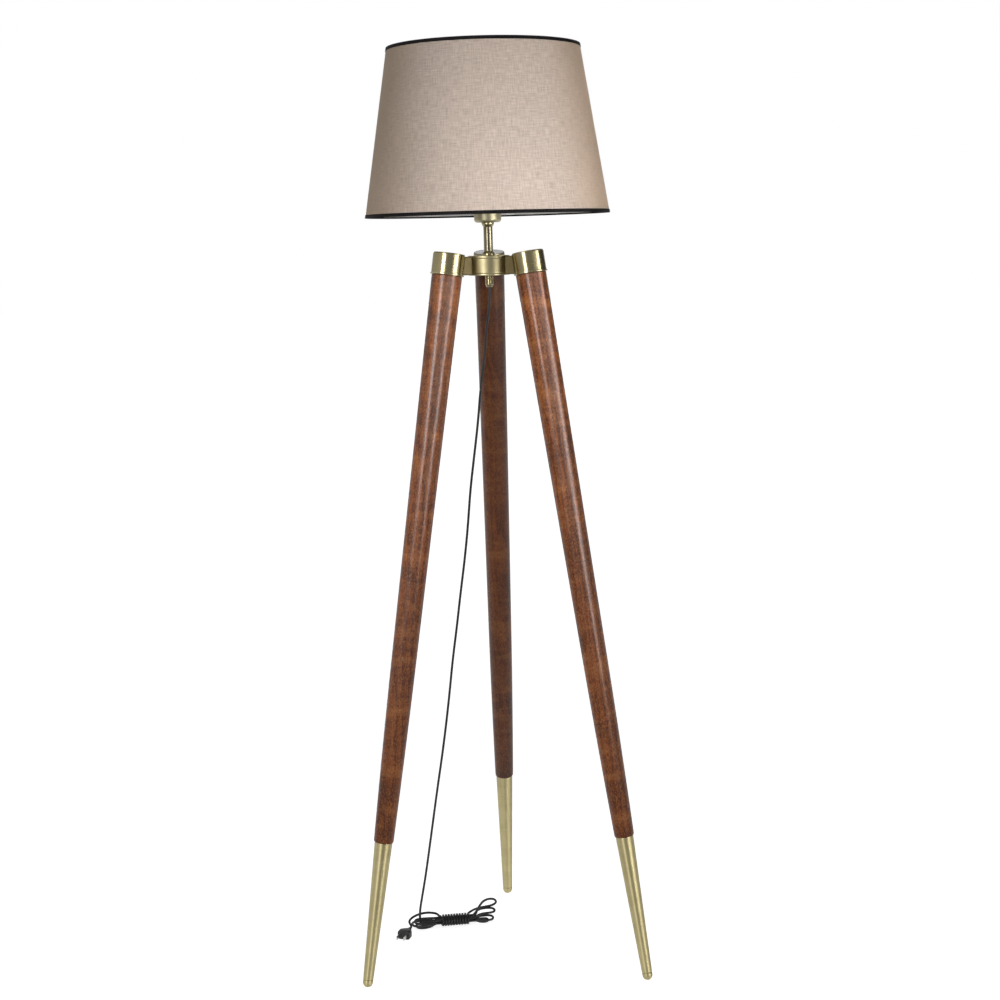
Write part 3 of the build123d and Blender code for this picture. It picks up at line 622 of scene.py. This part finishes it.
# Lampholder: a brass cup with a round bottom edge hides the terminals. The black
# insulating body stands in it and carries the shade on its flange.
cup_low, cup_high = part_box("holder_cup")
cup_radius = cup_high[0]
cup_round = 0.005
cup_wall = 0.0014
cup_corner = (cup_radius - cup_round, cup_low[2] + cup_round)
cup_outline = [(pipe_hole, cup_low[2])]
cup_outline += arc(cup_corner, cup_round, -90, 0, 10)
cup_outline += [(cup_radius, cup_high[2]), (cup_radius - cup_wall, cup_high[2])]
cup_outline += arc(cup_corner, cup_round - cup_wall, 0, -90, 8)
cup_outline += [(pipe_hole, cup_low[2] + cup_wall)]
piece = finish_mesh("lampholder_cup", lathe(cup_outline, stem_edge, closed=True))
# Painted light: the cup's brass is paler than the other brass, making up for the shadow that the
# shade casts on it.
cup_brass_painted_light = brass("cup_brass_painted_light", (0.57, 0.525, 0.345, 1), (0.475, 0.43, 0.275, 1), 0.42, 0.3)
fit(piece, cup_brass_painted_light, "stand", "antique_brass", "holder_cup")
black_plastic = plain_material(
    "black_plastic", ((90, 90, 90), 3.0), ((2600, 2600, 2600), 2.0),
    ((0.016, 0.016, 0.016, 1), (0.0332, 0.0332, 0.0332, 1)),
    fade=(0.4, 0.75, 0.0, 0.6), gloss=(0.3, 0.7, 0.36, 0.5), relief=(0.00004, 0.35),
)
holder_low, holder_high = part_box("holder_body")
flange_thickness = 0.0025
flange_top = cup_high[2] + flange_thickness
holder_radius = 0.02
holder_wire_hole = 0.003
shell_hole = 0.01415
holder_base = 0.010
shell_floor = holder_low[2] + holder_base
holder_outline = [
    (holder_wire_hole, holder_low[2]),
    (holder_radius, holder_low[2]),
    (holder_radius, cup_high[2]),
    (holder_high[0], cup_high[2]),
    (holder_high[0], flange_top),
    (holder_radius, flange_top),
    (holder_radius, holder_high[2]),
    (shell_hole, holder_high[2]),
    (shell_hole, shell_floor),
    (holder_wire_hole, shell_floor),
]
piece = finish_mesh("lampholder_body", lathe(holder_outline, stem_edge, closed=True))
fit(piece, black_plastic, "stand", "black_plastic", "holder_body")

# Bulb: a frosted glass globe on a neck, cemented into a screw cap of plated metal.
# It screws into the lampholder, and shows only from below and above the shade.
cap_low, cap_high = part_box("bulb_cap")
thread_pitch = 0.0036
thread_depth = 0.0007
thread_steps = 36
thread_clear_below = 0.0024
thread_clear_above = 0.006
contact_radius = 0.0045
contact_foot_radius = 0.006
contact_rise = 0.0008
shoulder_inset = 0.002
shoulder_drop = 0.0004
cap_side = cap_high[0] - thread_depth
thread_bottom = cap_low[2] + thread_clear_below
thread_top = cap_high[2] - thread_clear_above
bulb_cap_outline = [
    (0, cap_low[2]),
    (contact_radius, cap_low[2]),
    (contact_foot_radius, cap_low[2] + contact_rise),
    (cap_side - shoulder_inset, thread_bottom - shoulder_drop),
]
for i in range(thread_steps + 1):
    height = thread_bottom + (thread_top - thread_bottom) * i / thread_steps
    wave = 0.5 - 0.5 * math.cos(math.tau * (height - thread_bottom) / thread_pitch)
    bulb_cap_outline.append((cap_side + thread_depth * wave, height))
bulb_cap_outline += [(cap_side, cap_high[2]), (0, cap_high[2])]
bulb_cap = lathe(bulb_cap_outline, 0)
fit(finish_mesh("bulb_screw_cap", bulb_cap), zinc, "bulb", "bright_steel", "bulb_cap")
opal_glass = plain_material(
    "frosted_glass", ((60, 60, 60), 3.0), ((60, 60, 60), 3.0),
    ((0.86, 0.85, 0.81, 1), (0.92, 0.91, 0.88, 1)),
    fade=(0.3, 0.7), gloss=(0.3, 0.7, 0.3, 0.4), relief=(0.0001, 0.2),
    extra={"Subsurface Weight": 0.3, "Subsurface Radius": (0.02, 0.02, 0.018)},
)
globe_low, globe_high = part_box("bulb_glass")
globe_radius = globe_high[0]
globe_middle = globe_high[2] - globe_radius
neck_radius = 0.0127
neck_length = 0.024
neck_lift = 0.0005
neck_top = cap_high[2] + neck_length
neck_bottom = globe_low[2] + neck_lift
flare_steps = 12
flare_power = 1.4
globe_outline = [(0, neck_bottom), (neck_radius, neck_bottom), (neck_radius, neck_top)]
for i in range(1, flare_steps):
    share = i / flare_steps
    eased = math.sin(share * math.pi / 2) ** flare_power
    radius = neck_radius + (globe_radius - neck_radius) * eased
    globe_outline.append((radius, neck_top + (globe_middle - neck_top) * share))
globe_outline += arc((0, globe_middle), globe_radius, 0, 90, 14)[:-1]
bulb = lathe(globe_outline + [(0, globe_high[2])], 0)
fit(finish_mesh("bulb_globe", bulb), opal_glass, "bulb", "frosted_glass", "bulb_glass")

# Shade skin: taupe linen laminated on a white plastic sheet, rolled into a cone and
# glued along one overlap at the back. Outside the weave shows, inside it is white.
skin_low, skin_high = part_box("shade_skin")
shade_bottom = skin_low[2]
shade_top = skin_high[2]
bottom_radius = skin_high[0]
top_radius = 0.1515
skin_wall = 0.0012
skin_steps = 256
seam_width = 0.011
seam_rise = 0.0005
seam_sink = 0.0002
thread_spacing = 0.0009


def skin_radius(height):
    """Outer radius of the cone at a height."""
    share = (height - shade_bottom) / (shade_top - shade_bottom)
    return bottom_radius + share * (top_radius - bottom_radius)


def unroll(shape, radius):
    """UV map of a turned piece, in metres: round it, and up it."""
    cloth = shape.loops.layers.uv.new("cloth")
    for face in shape.faces:
        middle = face.calc_center_median()
        base = math.atan2(middle.x, -middle.y)
        for loop in face.loops:
            turn = math.atan2(loop.vert.co.x, -loop.vert.co.y) - base
            turn -= math.tau * round(turn / math.tau)
            loop[cloth].uv = ((base + turn) * radius, loop.vert.co.z)


def linen(name):
    """Plain weave of slubby threads, with warm and cool yarns, a soft sheen, and a painted warm
    shade where the cone turns away from view.
    """
    material, tree, shader = new_material(name)
    cloth = add_node(tree, "ShaderNodeUVMap", uv_map="cloth").outputs[0]
    thread_turn = math.tau * (1 / thread_spacing)
    warp_slub = noise(tree, cloth, (560, 64, 1), detail=1.0)
    weft_slub = noise(tree, cloth, (58, 600, 1), detail=1.0)
    wobble = noise(tree, cloth, (260, 260, 1), detail=1.0)
    waver = ramp(tree, wobble, 0.0, 1.0, -0.0003, 0.0003)
    shifted = add_node(tree, "ShaderNodeVectorMath", {0: cloth, 1: waver}, operation="ADD")
    axes = add_node(tree, "ShaderNodeSeparateXYZ", {0: shifted.outputs[0]})
    warp = maths(tree, "SINE", maths(tree, "MULTIPLY", axes.outputs["X"], thread_turn), 0.0)
    weft = maths(tree, "SINE", maths(tree, "MULTIPLY", axes.outputs["Y"], thread_turn), 0.0)
    crossing = maths(tree, "MULTIPLY", warp, weft)
    thread = ramp(tree, crossing, -1.0, 1.0)
    warp_tone = ramp(tree, warp_slub, 0.2, 0.8)
    weft_tone = ramp(tree, weft_slub, 0.2, 0.8)
    yarn = maths(tree, "MULTIPLY", maths(tree, "ADD", warp_tone, weft_tone), 0.5)
    base = blend(tree, yarn, (0.42, 0.31, 0.237, 1), (0.82, 0.70, 0.60, 1))
    base = blend(tree, ramp(tree, thread, 0.0, 1.0, 0.16, 0.0), base, (0.33, 0.245, 0.185, 1))
    # Painted shade: a warm brown tint grows where the surface is seen at a slant, standing in for
    # the warm shaded sides of the cone.
    slant = add_node(tree, "ShaderNodeLayerWeight", {"Blend": 0.5}).outputs["Facing"]
    base = blend(tree, ramp(tree, slant, 0.2, 0.85, 0.0, 0.8), base, (0.66, 0.46, 0.275, 1))
    feed(tree, shader, {
        "Base Color": base, "Roughness": ramp(tree, yarn, 0.0, 1.0, 0.62, 0.5),
        "Specular IOR Level": 0.5, "Sheen Weight": 0.1, "Sheen Roughness": 0.4,
    })
    height = maths(tree, "ADD", maths(tree, "MULTIPLY", thread, 0.5), yarn)
    bump(tree, shader, height, 0.00025, 0.5)
    return material


white_lining = plain_material(
    "white_lining", ((500, 500, 40), 2.0), ((500, 500, 40), 2.0),
    ((0.80, 0.79, 0.76, 1), (0.85, 0.84, 0.82, 1)),
    fade=(0.3, 0.7), gloss=(0.3, 0.7, 0.5, 0.6), relief=(0.00003, 0.3),
)
skin_outline = [
    (bottom_radius, shade_bottom), (top_radius, shade_top),
    (top_radius - skin_wall, shade_top), (bottom_radius - skin_wall, shade_bottom),
]
skin = lathe(skin_outline, 0, closed=True, steps=skin_steps)
unroll(skin, (bottom_radius + top_radius) / 2)
for face in skin.faces:
    middle = face.calc_center_median()
    face.material_index = 0 if face.normal.dot(Vector((middle.x, middle.y, 0))) > 0 else 1
shade_linen = linen("taupe_linen")
piece = finish_mesh("shade_cone", skin)
fit(piece, shade_linen, "shade", "linen", "shade_skin")
piece.data.materials.append(white_lining)
seam = bmesh.new()
bmesh.ops.create_cube(seam, size=1.0)
for corner in seam.verts:
    height = shade_bottom if corner.co.z < 0 else shade_top
    depth = -seam_sink if corner.co.y < 0 else seam_rise
    corner.co = (corner.co.x * seam_width, skin_radius(height) + depth, height)
unroll(seam, (bottom_radius + top_radius) / 2)
fit(finish_mesh("shade_seam", seam), shade_linen, "shade", "linen")

# Shade trims: dark bias tape folded over both edges of the skin and glued down, its
# outer hem about 5 mm wide with soft folded edges.
trim_height = 0.0046
trim_inner_height = 0.0018
trim_thickness = 0.0007
trim_gap = 0.00008
trim_edge = 0.00025


def folded_tape():
    """Black-brown tape with a fine slanting rib."""
    material, tree, shader = new_material("dark_tape")
    point = add_node(tree, "ShaderNodeUVMap", uv_map="cloth").outputs[0]
    rib = noise(tree, point, (2600, 90, 1), detail=1.0, slant=math.radians(45))
    fade = noise(tree, point, (40, 200, 1))
    ribbed = ramp(tree, rib, 0.35, 0.65)
    base = blend(tree, ribbed, (0.004, 0.003, 0.003, 1), (0.011, 0.008, 0.008, 1))
    base = blend(tree, ramp(tree, fade, 0.45, 0.75, 0.0, 0.5), base, (0.014, 0.010, 0.010, 1))
    feed(tree, shader, {
        "Base Color": base, "Roughness": ramp(tree, rib, 0.3, 0.7, 0.55, 0.7),
        "Specular IOR Level": 0.1,
    })
    bump(tree, shader, rib, 0.0001, 0.4)
    return material


tape = folded_tape()
trim_places = {"shade_bottom_trim": (shade_bottom, 1), "shade_top_trim": (shade_top, -1)}
for node, (edge, inwards) in trim_places.items():
    hem = edge + inwards * trim_height
    inner_hem = edge + inwards * trim_inner_height
    fold = edge - inwards * (trim_gap + trim_thickness)
    tape_outline = [
        (skin_radius(fold) + trim_gap + trim_thickness, fold),
        (skin_radius(hem) + trim_gap + trim_thickness, hem),
        (skin_radius(hem) + trim_gap, hem),
        (skin_radius(edge) + trim_gap, edge - inwards * trim_gap),
        (skin_radius(edge) - skin_wall - trim_gap, edge - inwards * trim_gap),
        (skin_radius(inner_hem) - skin_wall - trim_gap, inner_hem),
        (skin_radius(inner_hem) - skin_wall - trim_gap - trim_thickness, inner_hem),
        (skin_radius(fold) - skin_wall - trim_gap - trim_thickness, fold),
    ]
    trim = lathe(tape_outline, trim_edge, closed=True, steps=skin_steps)
    unroll(trim, bottom_radius)
    piece = finish_mesh(f"{node}_tape", trim)
    fit(piece, tape, "shade", "dark_tape", node)

# Shade frame: white coated wire rings at both edges, and a spider of three arms that
# joins the lower ring to the fitter ring. A plastic ring nut clamps it on the holder.
wire_radius = 0.002
wire_sides = 12
wire_edge = 0.0006
fitter_edge = 0.0004
holder_fit = 0.00005
arm_gap = 0.0001
arm_steps = 16
white_coat = plain_material(
    "white_coat", ((60, 60, 60), 3.0), ((700, 700, 700), 2.0),
    ((0.80, 0.79, 0.76, 1), (0.68, 0.66, 0.62, 1)),
    fade=(0.4, 0.75, 0.0, 0.6), gloss=(0.3, 0.7, 0.3, 0.42), relief=(0.00005, 0.4),
    fine_gloss=True,
)
for node in ("shade_bottom_wire", "shade_top_wire"):
    low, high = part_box(node)
    middle = (high[0] - wire_radius, (low[2] + high[2]) / 2)
    circle = arc(middle, wire_radius, 0, 360 - 360 / wire_sides, wire_sides - 1)
    wire = lathe(circle, 0, closed=True, steps=skin_steps)
    fit(finish_mesh(f"{node}_ring", wire), white_coat, "shade", "white_wire", node)

fitter_low, fitter_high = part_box("fitter_ring")
fitter = lathe(plate_outline("fitter_ring", holder_radius + holder_fit), fitter_edge, closed=True)
fit(finish_mesh("fitter_plate", fitter), white_coat, "shade", "white_wire", "fitter_ring")
arm_inner = fitter_high[0] + arm_gap
ring_low, ring_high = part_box("shade_bottom_wire")
arm_outer = ring_high[0] - 2 * wire_radius
arm_outer_height = (ring_low[2] + ring_high[2]) / 2
arm_inner_height = (fitter_low[2] + fitter_high[2]) / 2
for side in leg_sides:
    foot = Vector(leg_turns[f"leg_{side}"]["pos_m"]).normalized()
    start = foot * arm_inner + Vector((0, 0, arm_inner_height))
    end = foot * arm_outer + Vector((0, 0, arm_outer_height))
    run = end - start
    lay = Matrix.Translation(start) @ run.to_track_quat("Z", "X").to_matrix().to_4x4()
    arm_outline = [(0, 0), (wire_radius, 0), (wire_radius, run.length), (0, run.length)]
    arm = lathe(arm_outline, wire_edge, steps=arm_steps)
    piece = finish_mesh(f"spider_rod_{side}", arm, lay)
    fit(piece, white_coat, "shade", "white_wire", f"spider_arm_{side}")

nut_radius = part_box("shade_ring_nut")[1][0]
nut_ribs = 36
nut_edge = 0.0006
rib_band = 0.001
rib_depth = 0.0005
nut_outline = plate_outline("shade_ring_nut", holder_radius + holder_fit)
ring_nut = lathe(nut_outline, nut_edge, closed=True, steps=4 * nut_ribs)
for corner in ring_nut.verts:
    spread = math.hypot(corner.co.x, corner.co.y)
    turn = math.atan2(corner.co.y, corner.co.x)
    if spread > nut_radius - rib_band:
        notch = rib_depth * (1 + math.cos(nut_ribs * turn))
        corner.co.xy *= (spread - notch) / spread
piece = finish_mesh("ring_nut", ring_nut)
fit(piece, black_plastic, "shade_ring", "black_plastic", "shade_ring_nut")

# Cord: black round flex, 3 m of it. It hangs from the grip to the floor, is folded
# into a hank with its last turns wound round the waist, and ends in the plug.
cord_diameter = 0.004
cord_exit = (0, 0, grip_low[2])
cord_straight = 0.024
hank_turn = math.radians(8)
hank_place = Matrix.Translation((-0.096, 0.114, 0)) @ Matrix.Rotation(hank_turn, 4, "Z")
inner_column = 0.0023
outer_column = 0.0069
lower_layer = 0.0067
upper_layer = 0.0113
waist_left = -0.024
waist_right = 0.032
wrap_turns = 10
wrap_pitch = 0.0048
wrap_first = 0.028
wrap_points = 12
wrap_half_width = 0.0143
wrap_half_height = 0.0072
wrap_middle = 0.009
lower_sag = 0.0034
upper_sag = 0.0022
near_share = 0.3
far_share = 0.75
drop_route = [
    cord_exit, (0, 0, grip_low[2] - cord_straight), (-0.007, 0.006, 1.039), (-0.011, 0.012, 0.992),
    (-0.019, 0.017, 0.944), (-0.025, 0.024, 0.886), (-0.033, 0.031, 0.830), (-0.041, 0.037, 0.774),
    (-0.047, 0.044, 0.712), (-0.054, 0.051, 0.656), (-0.063, 0.058, 0.597), (-0.071, 0.065, 0.539),
    (-0.080, 0.072, 0.481), (-0.087, 0.079, 0.424), (-0.095, 0.086, 0.366), (-0.104, 0.092, 0.308),
    (-0.114, 0.098, 0.250), (-0.123, 0.102, 0.194), (-0.132, 0.105, 0.138), (-0.140, 0.106, 0.090),
    (-0.147, 0.105, 0.054), (-0.152, 0.104, 0.028),
]


def loop_end(side, reach, front, back, depth, start, end, rise=0.0):
    """Points round one end of the hank, from one column and layer at the waist to the next."""
    waist = waist_right if side > 0 else waist_left
    opening, closing = (-front, back) if side > 0 else (back, -front)
    shoulder = side * (reach - depth)
    near = waist + near_share * (shoulder - waist)
    far = waist + far_share * (shoulder - waist)
    start_low = start[1] - (lower_sag if start[1] < upper_layer else upper_sag) + rise
    end_low = end[1] - (lower_sag if end[1] < upper_layer else upper_sag) + rise
    return [
        (waist, start[0], start[1]),
        (near, start[0], start[1]),
        (far, opening, start_low),
        (side * reach, opening, start_low),
        (side * reach, closing, end_low),
        (far, closing, end_low),
        (near, end[0], end[1]),
        (waist, end[0], end[1]),
    ]


inner_low = (-inner_column, lower_layer), (inner_column, lower_layer)
outer_low = (-outer_column, lower_layer), (outer_column, lower_layer)
outer_high = (-outer_column, upper_layer), (outer_column, upper_layer)
inner_high = (-inner_column, upper_layer), (inner_column, upper_layer)
hank = [
    (-0.056, -0.001, 0.0065), (-0.043, -0.0023, 0.005), (waist_left, -inner_column, lower_layer),
]
hank += loop_end(1, 0.062, 0.0075, 0.008, 0.009, *inner_low)
hank += loop_end(-1, 0.063, 0.014, 0.009, 0.016, inner_low[1], outer_low[0])
hank += loop_end(1, 0.071, 0.0125, 0.0095, 0.016, *outer_low, rise=0.0045)
hank += loop_end(-1, 0.070, 0.020, 0.019, 0.023, outer_low[1], outer_high[0])
hank += loop_end(1, 0.075, 0.0045, 0.0185, 0.022, *outer_high, rise=0.0085)
hank += loop_end(-1, 0.065, 0.0095, 0.014, 0.018, outer_high[1], inner_high[0])
hank += [
    (waist_right, -inner_column, upper_layer), (0.040, -0.0025, 0.014), (0.045, -0.003, 0.028),
    (0.056, 0.0, 0.040), (0.073, 0.006, 0.0395), (0.0805, 0.013, 0.029),
    (0.072, 0.018, 0.0215), (0.054, 0.019, 0.0195), (0.040, 0.016, 0.018),
]
for turn in range(wrap_turns):
    for step in range(wrap_points):
        angle = math.tau * step / wrap_points + math.pi / 3
        along = wrap_first - wrap_pitch * (turn + step / wrap_points)
        height = wrap_middle + wrap_half_height * math.sin(angle)
        hank.append((along, wrap_half_width * math.cos(angle), height))
hank += [(-0.0200, 0.0138, 0.009), (-0.0245, 0.0145, 0.0155), (-0.0318, 0.0158, 0.0174)]
tail = [
    (-0.0436, 0.017, 0.0186), (-0.058, 0.017, 0.0165),
    (-0.071, 0.010, 0.0135), (-0.0765, -0.001, 0.011),
]
plug_rear = hank_place @ Vector((-0.076, -0.022, 0.0076))
plug_way = Vector((-0.32, -0.95, 0)).normalized()
tail_last_run = 0.010
cord_route = [Vector(point) for point in drop_route]
cord_route += [hank_place @ Vector(point) for point in hank + tail]
cord_route += [plug_rear - plug_way * tail_last_run, plug_rear]
black_flex = plain_material(
    "black_flex", ((240, 240, 240), 3.0), ((2200, 2200, 2200), 1.0),
    ((0.010, 0.010, 0.010, 1), (0.019, 0.019, 0.018, 1)),
    fade=(0.4, 0.7), gloss=(0.3, 0.7, 0.38, 0.52), relief=(0.00003, 0.3),
)
cord_curve = bpy.data.curves.new("cord_flex", "CURVE")
cord_curve.dimensions = "3D"
cord_curve.bevel_depth = cord_diameter / 2
cord_curve.bevel_resolution = 4
cord_curve.use_fill_caps = True
spline = cord_curve.splines.new("NURBS")
spline.points.add(len(cord_route) - 1)
for point, place in zip(spline.points, cord_route):
    point.co = (*place, 1.0)
spline.order_u = 3
spline.use_endpoint_u = True
spline.resolution_u = 6
spline.use_smooth = True
cord = new_object("cord_flex", cord_curve)
fit(cord, black_flex, "stand", "black_cord", "cord_drop", "cord_hank", "cord_tail")
dress(black_flex, "inner_flex")

# Plug: a moulded black grip that narrows to a ribbed strain relief, with two flat
# plated blades. It lies on the floor beside the left end of the hank.
plug_lay = Matrix.Translation(plug_rear) @ Matrix((
    (plug_way.y, 0, plug_way.x, 0), (-plug_way.x, 0, plug_way.y, 0), (0, 1, 0, 0), (0, 0, 0, 1),
))
relief_length = 0.010
relief_inset = 0.0008
relief_edge = 0.0002
relief_steps = 32
relief_rear_radius = 0.0029
relief_front_radius = 0.0049
relief_ribs = 4
relief_outline = [(0, 0)]
for rib in range(relief_ribs):
    for share, inset in ((0.05, 0.0), (0.6, 0.0), (0.68, relief_inset), (0.97, relief_inset)):
        height = relief_length * (rib + share) / relief_ribs
        growth = (relief_front_radius - relief_rear_radius) * height / relief_length
        relief_outline.append((relief_rear_radius + growth - inset, height))
relief_outline += [(relief_front_radius, relief_length), (0, relief_length)]
relief = lathe(relief_outline, relief_edge, steps=relief_steps)
plug_relief = finish_mesh("plug_strain_relief", relief, plug_lay)
fit(plug_relief, black_plastic, "stand", "black_plastic", "plug_relief")

plug_length = 0.020
plug_width = 0.022
plug_thickness = 0.015
plug_rear_width = 0.012
plug_rear_thickness = 0.011
plug_grip_start = 0.009
plug_side_round = 0.004
plug_edge = 0.0011
long_run = 0.005
plug_corner_angle = math.radians(35)
front_facing = 0.9
plug_body = bmesh.new()
bmesh.ops.create_cube(plug_body, size=1.0)
taper_middle = relief_length + plug_grip_start / 2
block = Matrix.Diagonal((plug_width, plug_thickness, plug_grip_start, 1))
lift = Matrix.Translation((0, 0, taper_middle))
bmesh.ops.transform(plug_body, matrix=lift @ block, verts=plug_body.verts)
for corner in plug_body.verts:
    if corner.co.z < taper_middle:
        corner.co.x *= plug_rear_width / plug_width
        corner.co.y *= plug_rear_thickness / plug_thickness
front = [face for face in plug_body.faces if face.normal.z > front_facing]
grown = bmesh.ops.extrude_face_region(plug_body, geom=front)
bmesh.ops.delete(plug_body, geom=front, context="FACES_ONLY")
bmesh.ops.translate(
    plug_body, vec=(0, 0, plug_length - plug_grip_start),
    verts=[corner for corner in grown["geom"] if isinstance(corner, bmesh.types.BMVert)],
)
sides = [
    run for run in plug_body.edges if abs((run.verts[0].co - run.verts[1].co).z) > long_run
]
round_edges(plug_body, sides, plug_side_round, segments=4)
round_edges(plug_body, sharp_edges(plug_body, plug_corner_angle), plug_edge)
bmesh.ops.recalc_face_normals(plug_body, faces=plug_body.faces)
plug_grip = finish_mesh("plug_grip", plug_body, plug_lay)
fit(plug_grip, black_plastic, "stand", "black_plastic", "plug_body")

blade_length = 0.015
blade_root = 0.004
blade_height = 0.0064
blade_thickness = 0.0015
blade_spacing = 0.0127
blade_edge = 0.0005
blade_middle = relief_length + plug_length + (blade_length - blade_root) / 2
block = Matrix.Diagonal((blade_thickness, blade_height, blade_length + blade_root, 1))
blades = bmesh.new()
for hand in (-1, 1):
    blade = bmesh.ops.create_cube(blades, size=1.0)["verts"]
    lift = Matrix.Translation((hand * blade_spacing / 2, 0, blade_middle))
    bmesh.ops.transform(blades, matrix=lift @ block, verts=blade)
round_edges(blades, blades.edges[:], blade_edge, segments=2)
plug_blades = finish_mesh("plug_prongs", blades, plug_lay)
fit(plug_blades, zinc, "stand", "bright_steel", "plug_blades")

# Floor, light and camera: a plain white studio with soft lights on the front, the shade,
# the legs and the back, and two tall strips that only show in reflections. The long lens
# stands a little below the shade and is tipped slightly down.
floor_reach = 30.0
floor_drop = 0.0003
floor_mesh = bmesh.new()
bmesh.ops.create_grid(floor_mesh, x_segments=1, y_segments=1, size=floor_reach)
floor = bpy.data.meshes.new("floor")
floor_mesh.to_mesh(floor)
floor_mesh.free()
floor_piece = new_object("floor", floor)
floor_piece.location.z = -floor_drop


def ray_kinds(tree):
    """Two sockets that tell whether a ray comes from the camera, or from metal or glass."""
    path = add_node(tree, "ShaderNodeLightPath").outputs
    mirrored = maths(tree, "MAXIMUM", path["Is Glossy Ray"], path["Is Transmission Ray"])
    return path["Is Camera Ray"], mirrored


floor_paint, tree, shader = new_material("floor_white")
direct, mirrored = ray_kinds(tree)
spot = object_point(tree)
depth = add_node(tree, "ShaderNodeSeparateXYZ", {0: spot}).outputs["Y"]
behind = ramp(tree, depth, -0.7, 0.1, 0.1, 0.62)
seen = maths(tree, "MAXIMUM", direct, maths(tree, "MULTIPLY", mirrored, behind))
away = add_node(tree, "ShaderNodeVectorMath", {0: spot}, operation="LENGTH").outputs["Value"]
glow = ramp(tree, away, 0.3, 2.6, 0.85, 0.98)
feed(tree, shader, {
    "Base Color": (0.86, 0.86, 0.86, 1), "Roughness": 0.9, "Specular IOR Level": 0.0,
    "Emission Color": (1, 1, 1, 1), "Emission Strength": maths(tree, "MULTIPLY", seen, glow),
})
floor.materials.append(floor_paint)

room_light = 0.18
world = bpy.data.worlds.new("studio")
bpy.context.scene.world = world
world.use_nodes = True
tree = world.node_tree
tree.nodes.clear()
direct, mirrored = ray_kinds(tree)
heading = add_node(tree, "ShaderNodeTexCoord").outputs["Generated"]
way = add_node(tree, "ShaderNodeSeparateXYZ", {0: heading})
studio = ramp(tree, way.outputs["Y"], -1.0, -0.1, 0.42, room_light)
studio = maths(tree, "MULTIPLY", studio, ramp(tree, way.outputs["Y"], -0.1, 0.4, 1.0, 0.3))
studio = maths(tree, "ADD", studio, ramp(tree, way.outputs["X"], -0.25, -0.8, 0.0, 0.6))
backdrop = ramp(tree, way.outputs["Y"], 0.78, 0.97)
shown = maths(tree, "MULTIPLY", mirrored, maths(tree, "MAXIMUM", studio, backdrop))
shown = maths(tree, "MAXIMUM", shown, direct)
spread_light = maths(tree, "MULTIPLY", maths(tree, "SUBTRACT", 1.0, mirrored), room_light)
strength = maths(tree, "MAXIMUM", shown, spread_light)
sky = add_node(tree, "ShaderNodeBackground", {"Color": (1, 1, 1, 1), "Strength": strength})
add_node(tree, "ShaderNodeOutputWorld", {"Surface": sky.outputs[0]})

soft_lights = {
    "key_softbox": (10, 3.0, 1.25, 1.0, 1.0, 2.9, 1.0, 46),
    "shade_softbox": (31, 2.6, 1.25, 0.5, 0.5, 0.48, 1.2, 16),
    "leg_softbox": (-40, 2.8, 0.75, 0.6, 0.6, 0.5, 0.7, 24),
    "rear_softbox": (180, 1.6, 2.8, 1.2, 1.2, 3.8, 1.1, 60),
}
strip_lights = {
    "left_strip": (-32, 2.1, 1.475, 0.42, 1.25, 26, 1.25, 180),
    "right_strip": (57, 2.1, 1.1, 0.42, 2.0, 33, 1.1, 180),
}
for name, placed in (soft_lights | strip_lights).items():
    azimuth, distance, height, width, tall, power, target_height, spread = placed
    lamp = bpy.data.lights.new(name, "AREA")
    lamp.shape = "RECTANGLE"
    lamp.size = width
    lamp.size_y = tall
    lamp.energy = power
    lamp.spread = math.radians(spread)
    holder = new_object(name, lamp)
    turn = math.radians(azimuth)
    holder.location = (distance * math.sin(turn), -distance * math.cos(turn), height)
    aim = Vector((0, 0, target_height)) - holder.location
    holder.rotation_euler = aim.to_track_quat("-Z", "Z").to_euler()
    holder.visible_glossy = name in strip_lights
    holder.visible_diffuse = name in soft_lights

camera_data = bpy.data.cameras.new("camera")
camera_data.sensor_width = 36.0
camera_data.lens = 62.47
camera_data.shift_x = -0.0129
camera_data.shift_y = -0.033
camera = new_object("camera", camera_data)
camera.location = (0.0297, -2.7766, 1.1804)
camera_tip = Matrix.Rotation(math.radians(82.5), 3, "X")
camera_roll = Matrix.Rotation(math.radians(-1.5), 3, "Z")
camera.rotation_euler = (camera_tip @ camera_roll).to_euler()
bpy.context.scene.camera = camera
bpy.context.scene.view_settings.view_transform = "Standard"
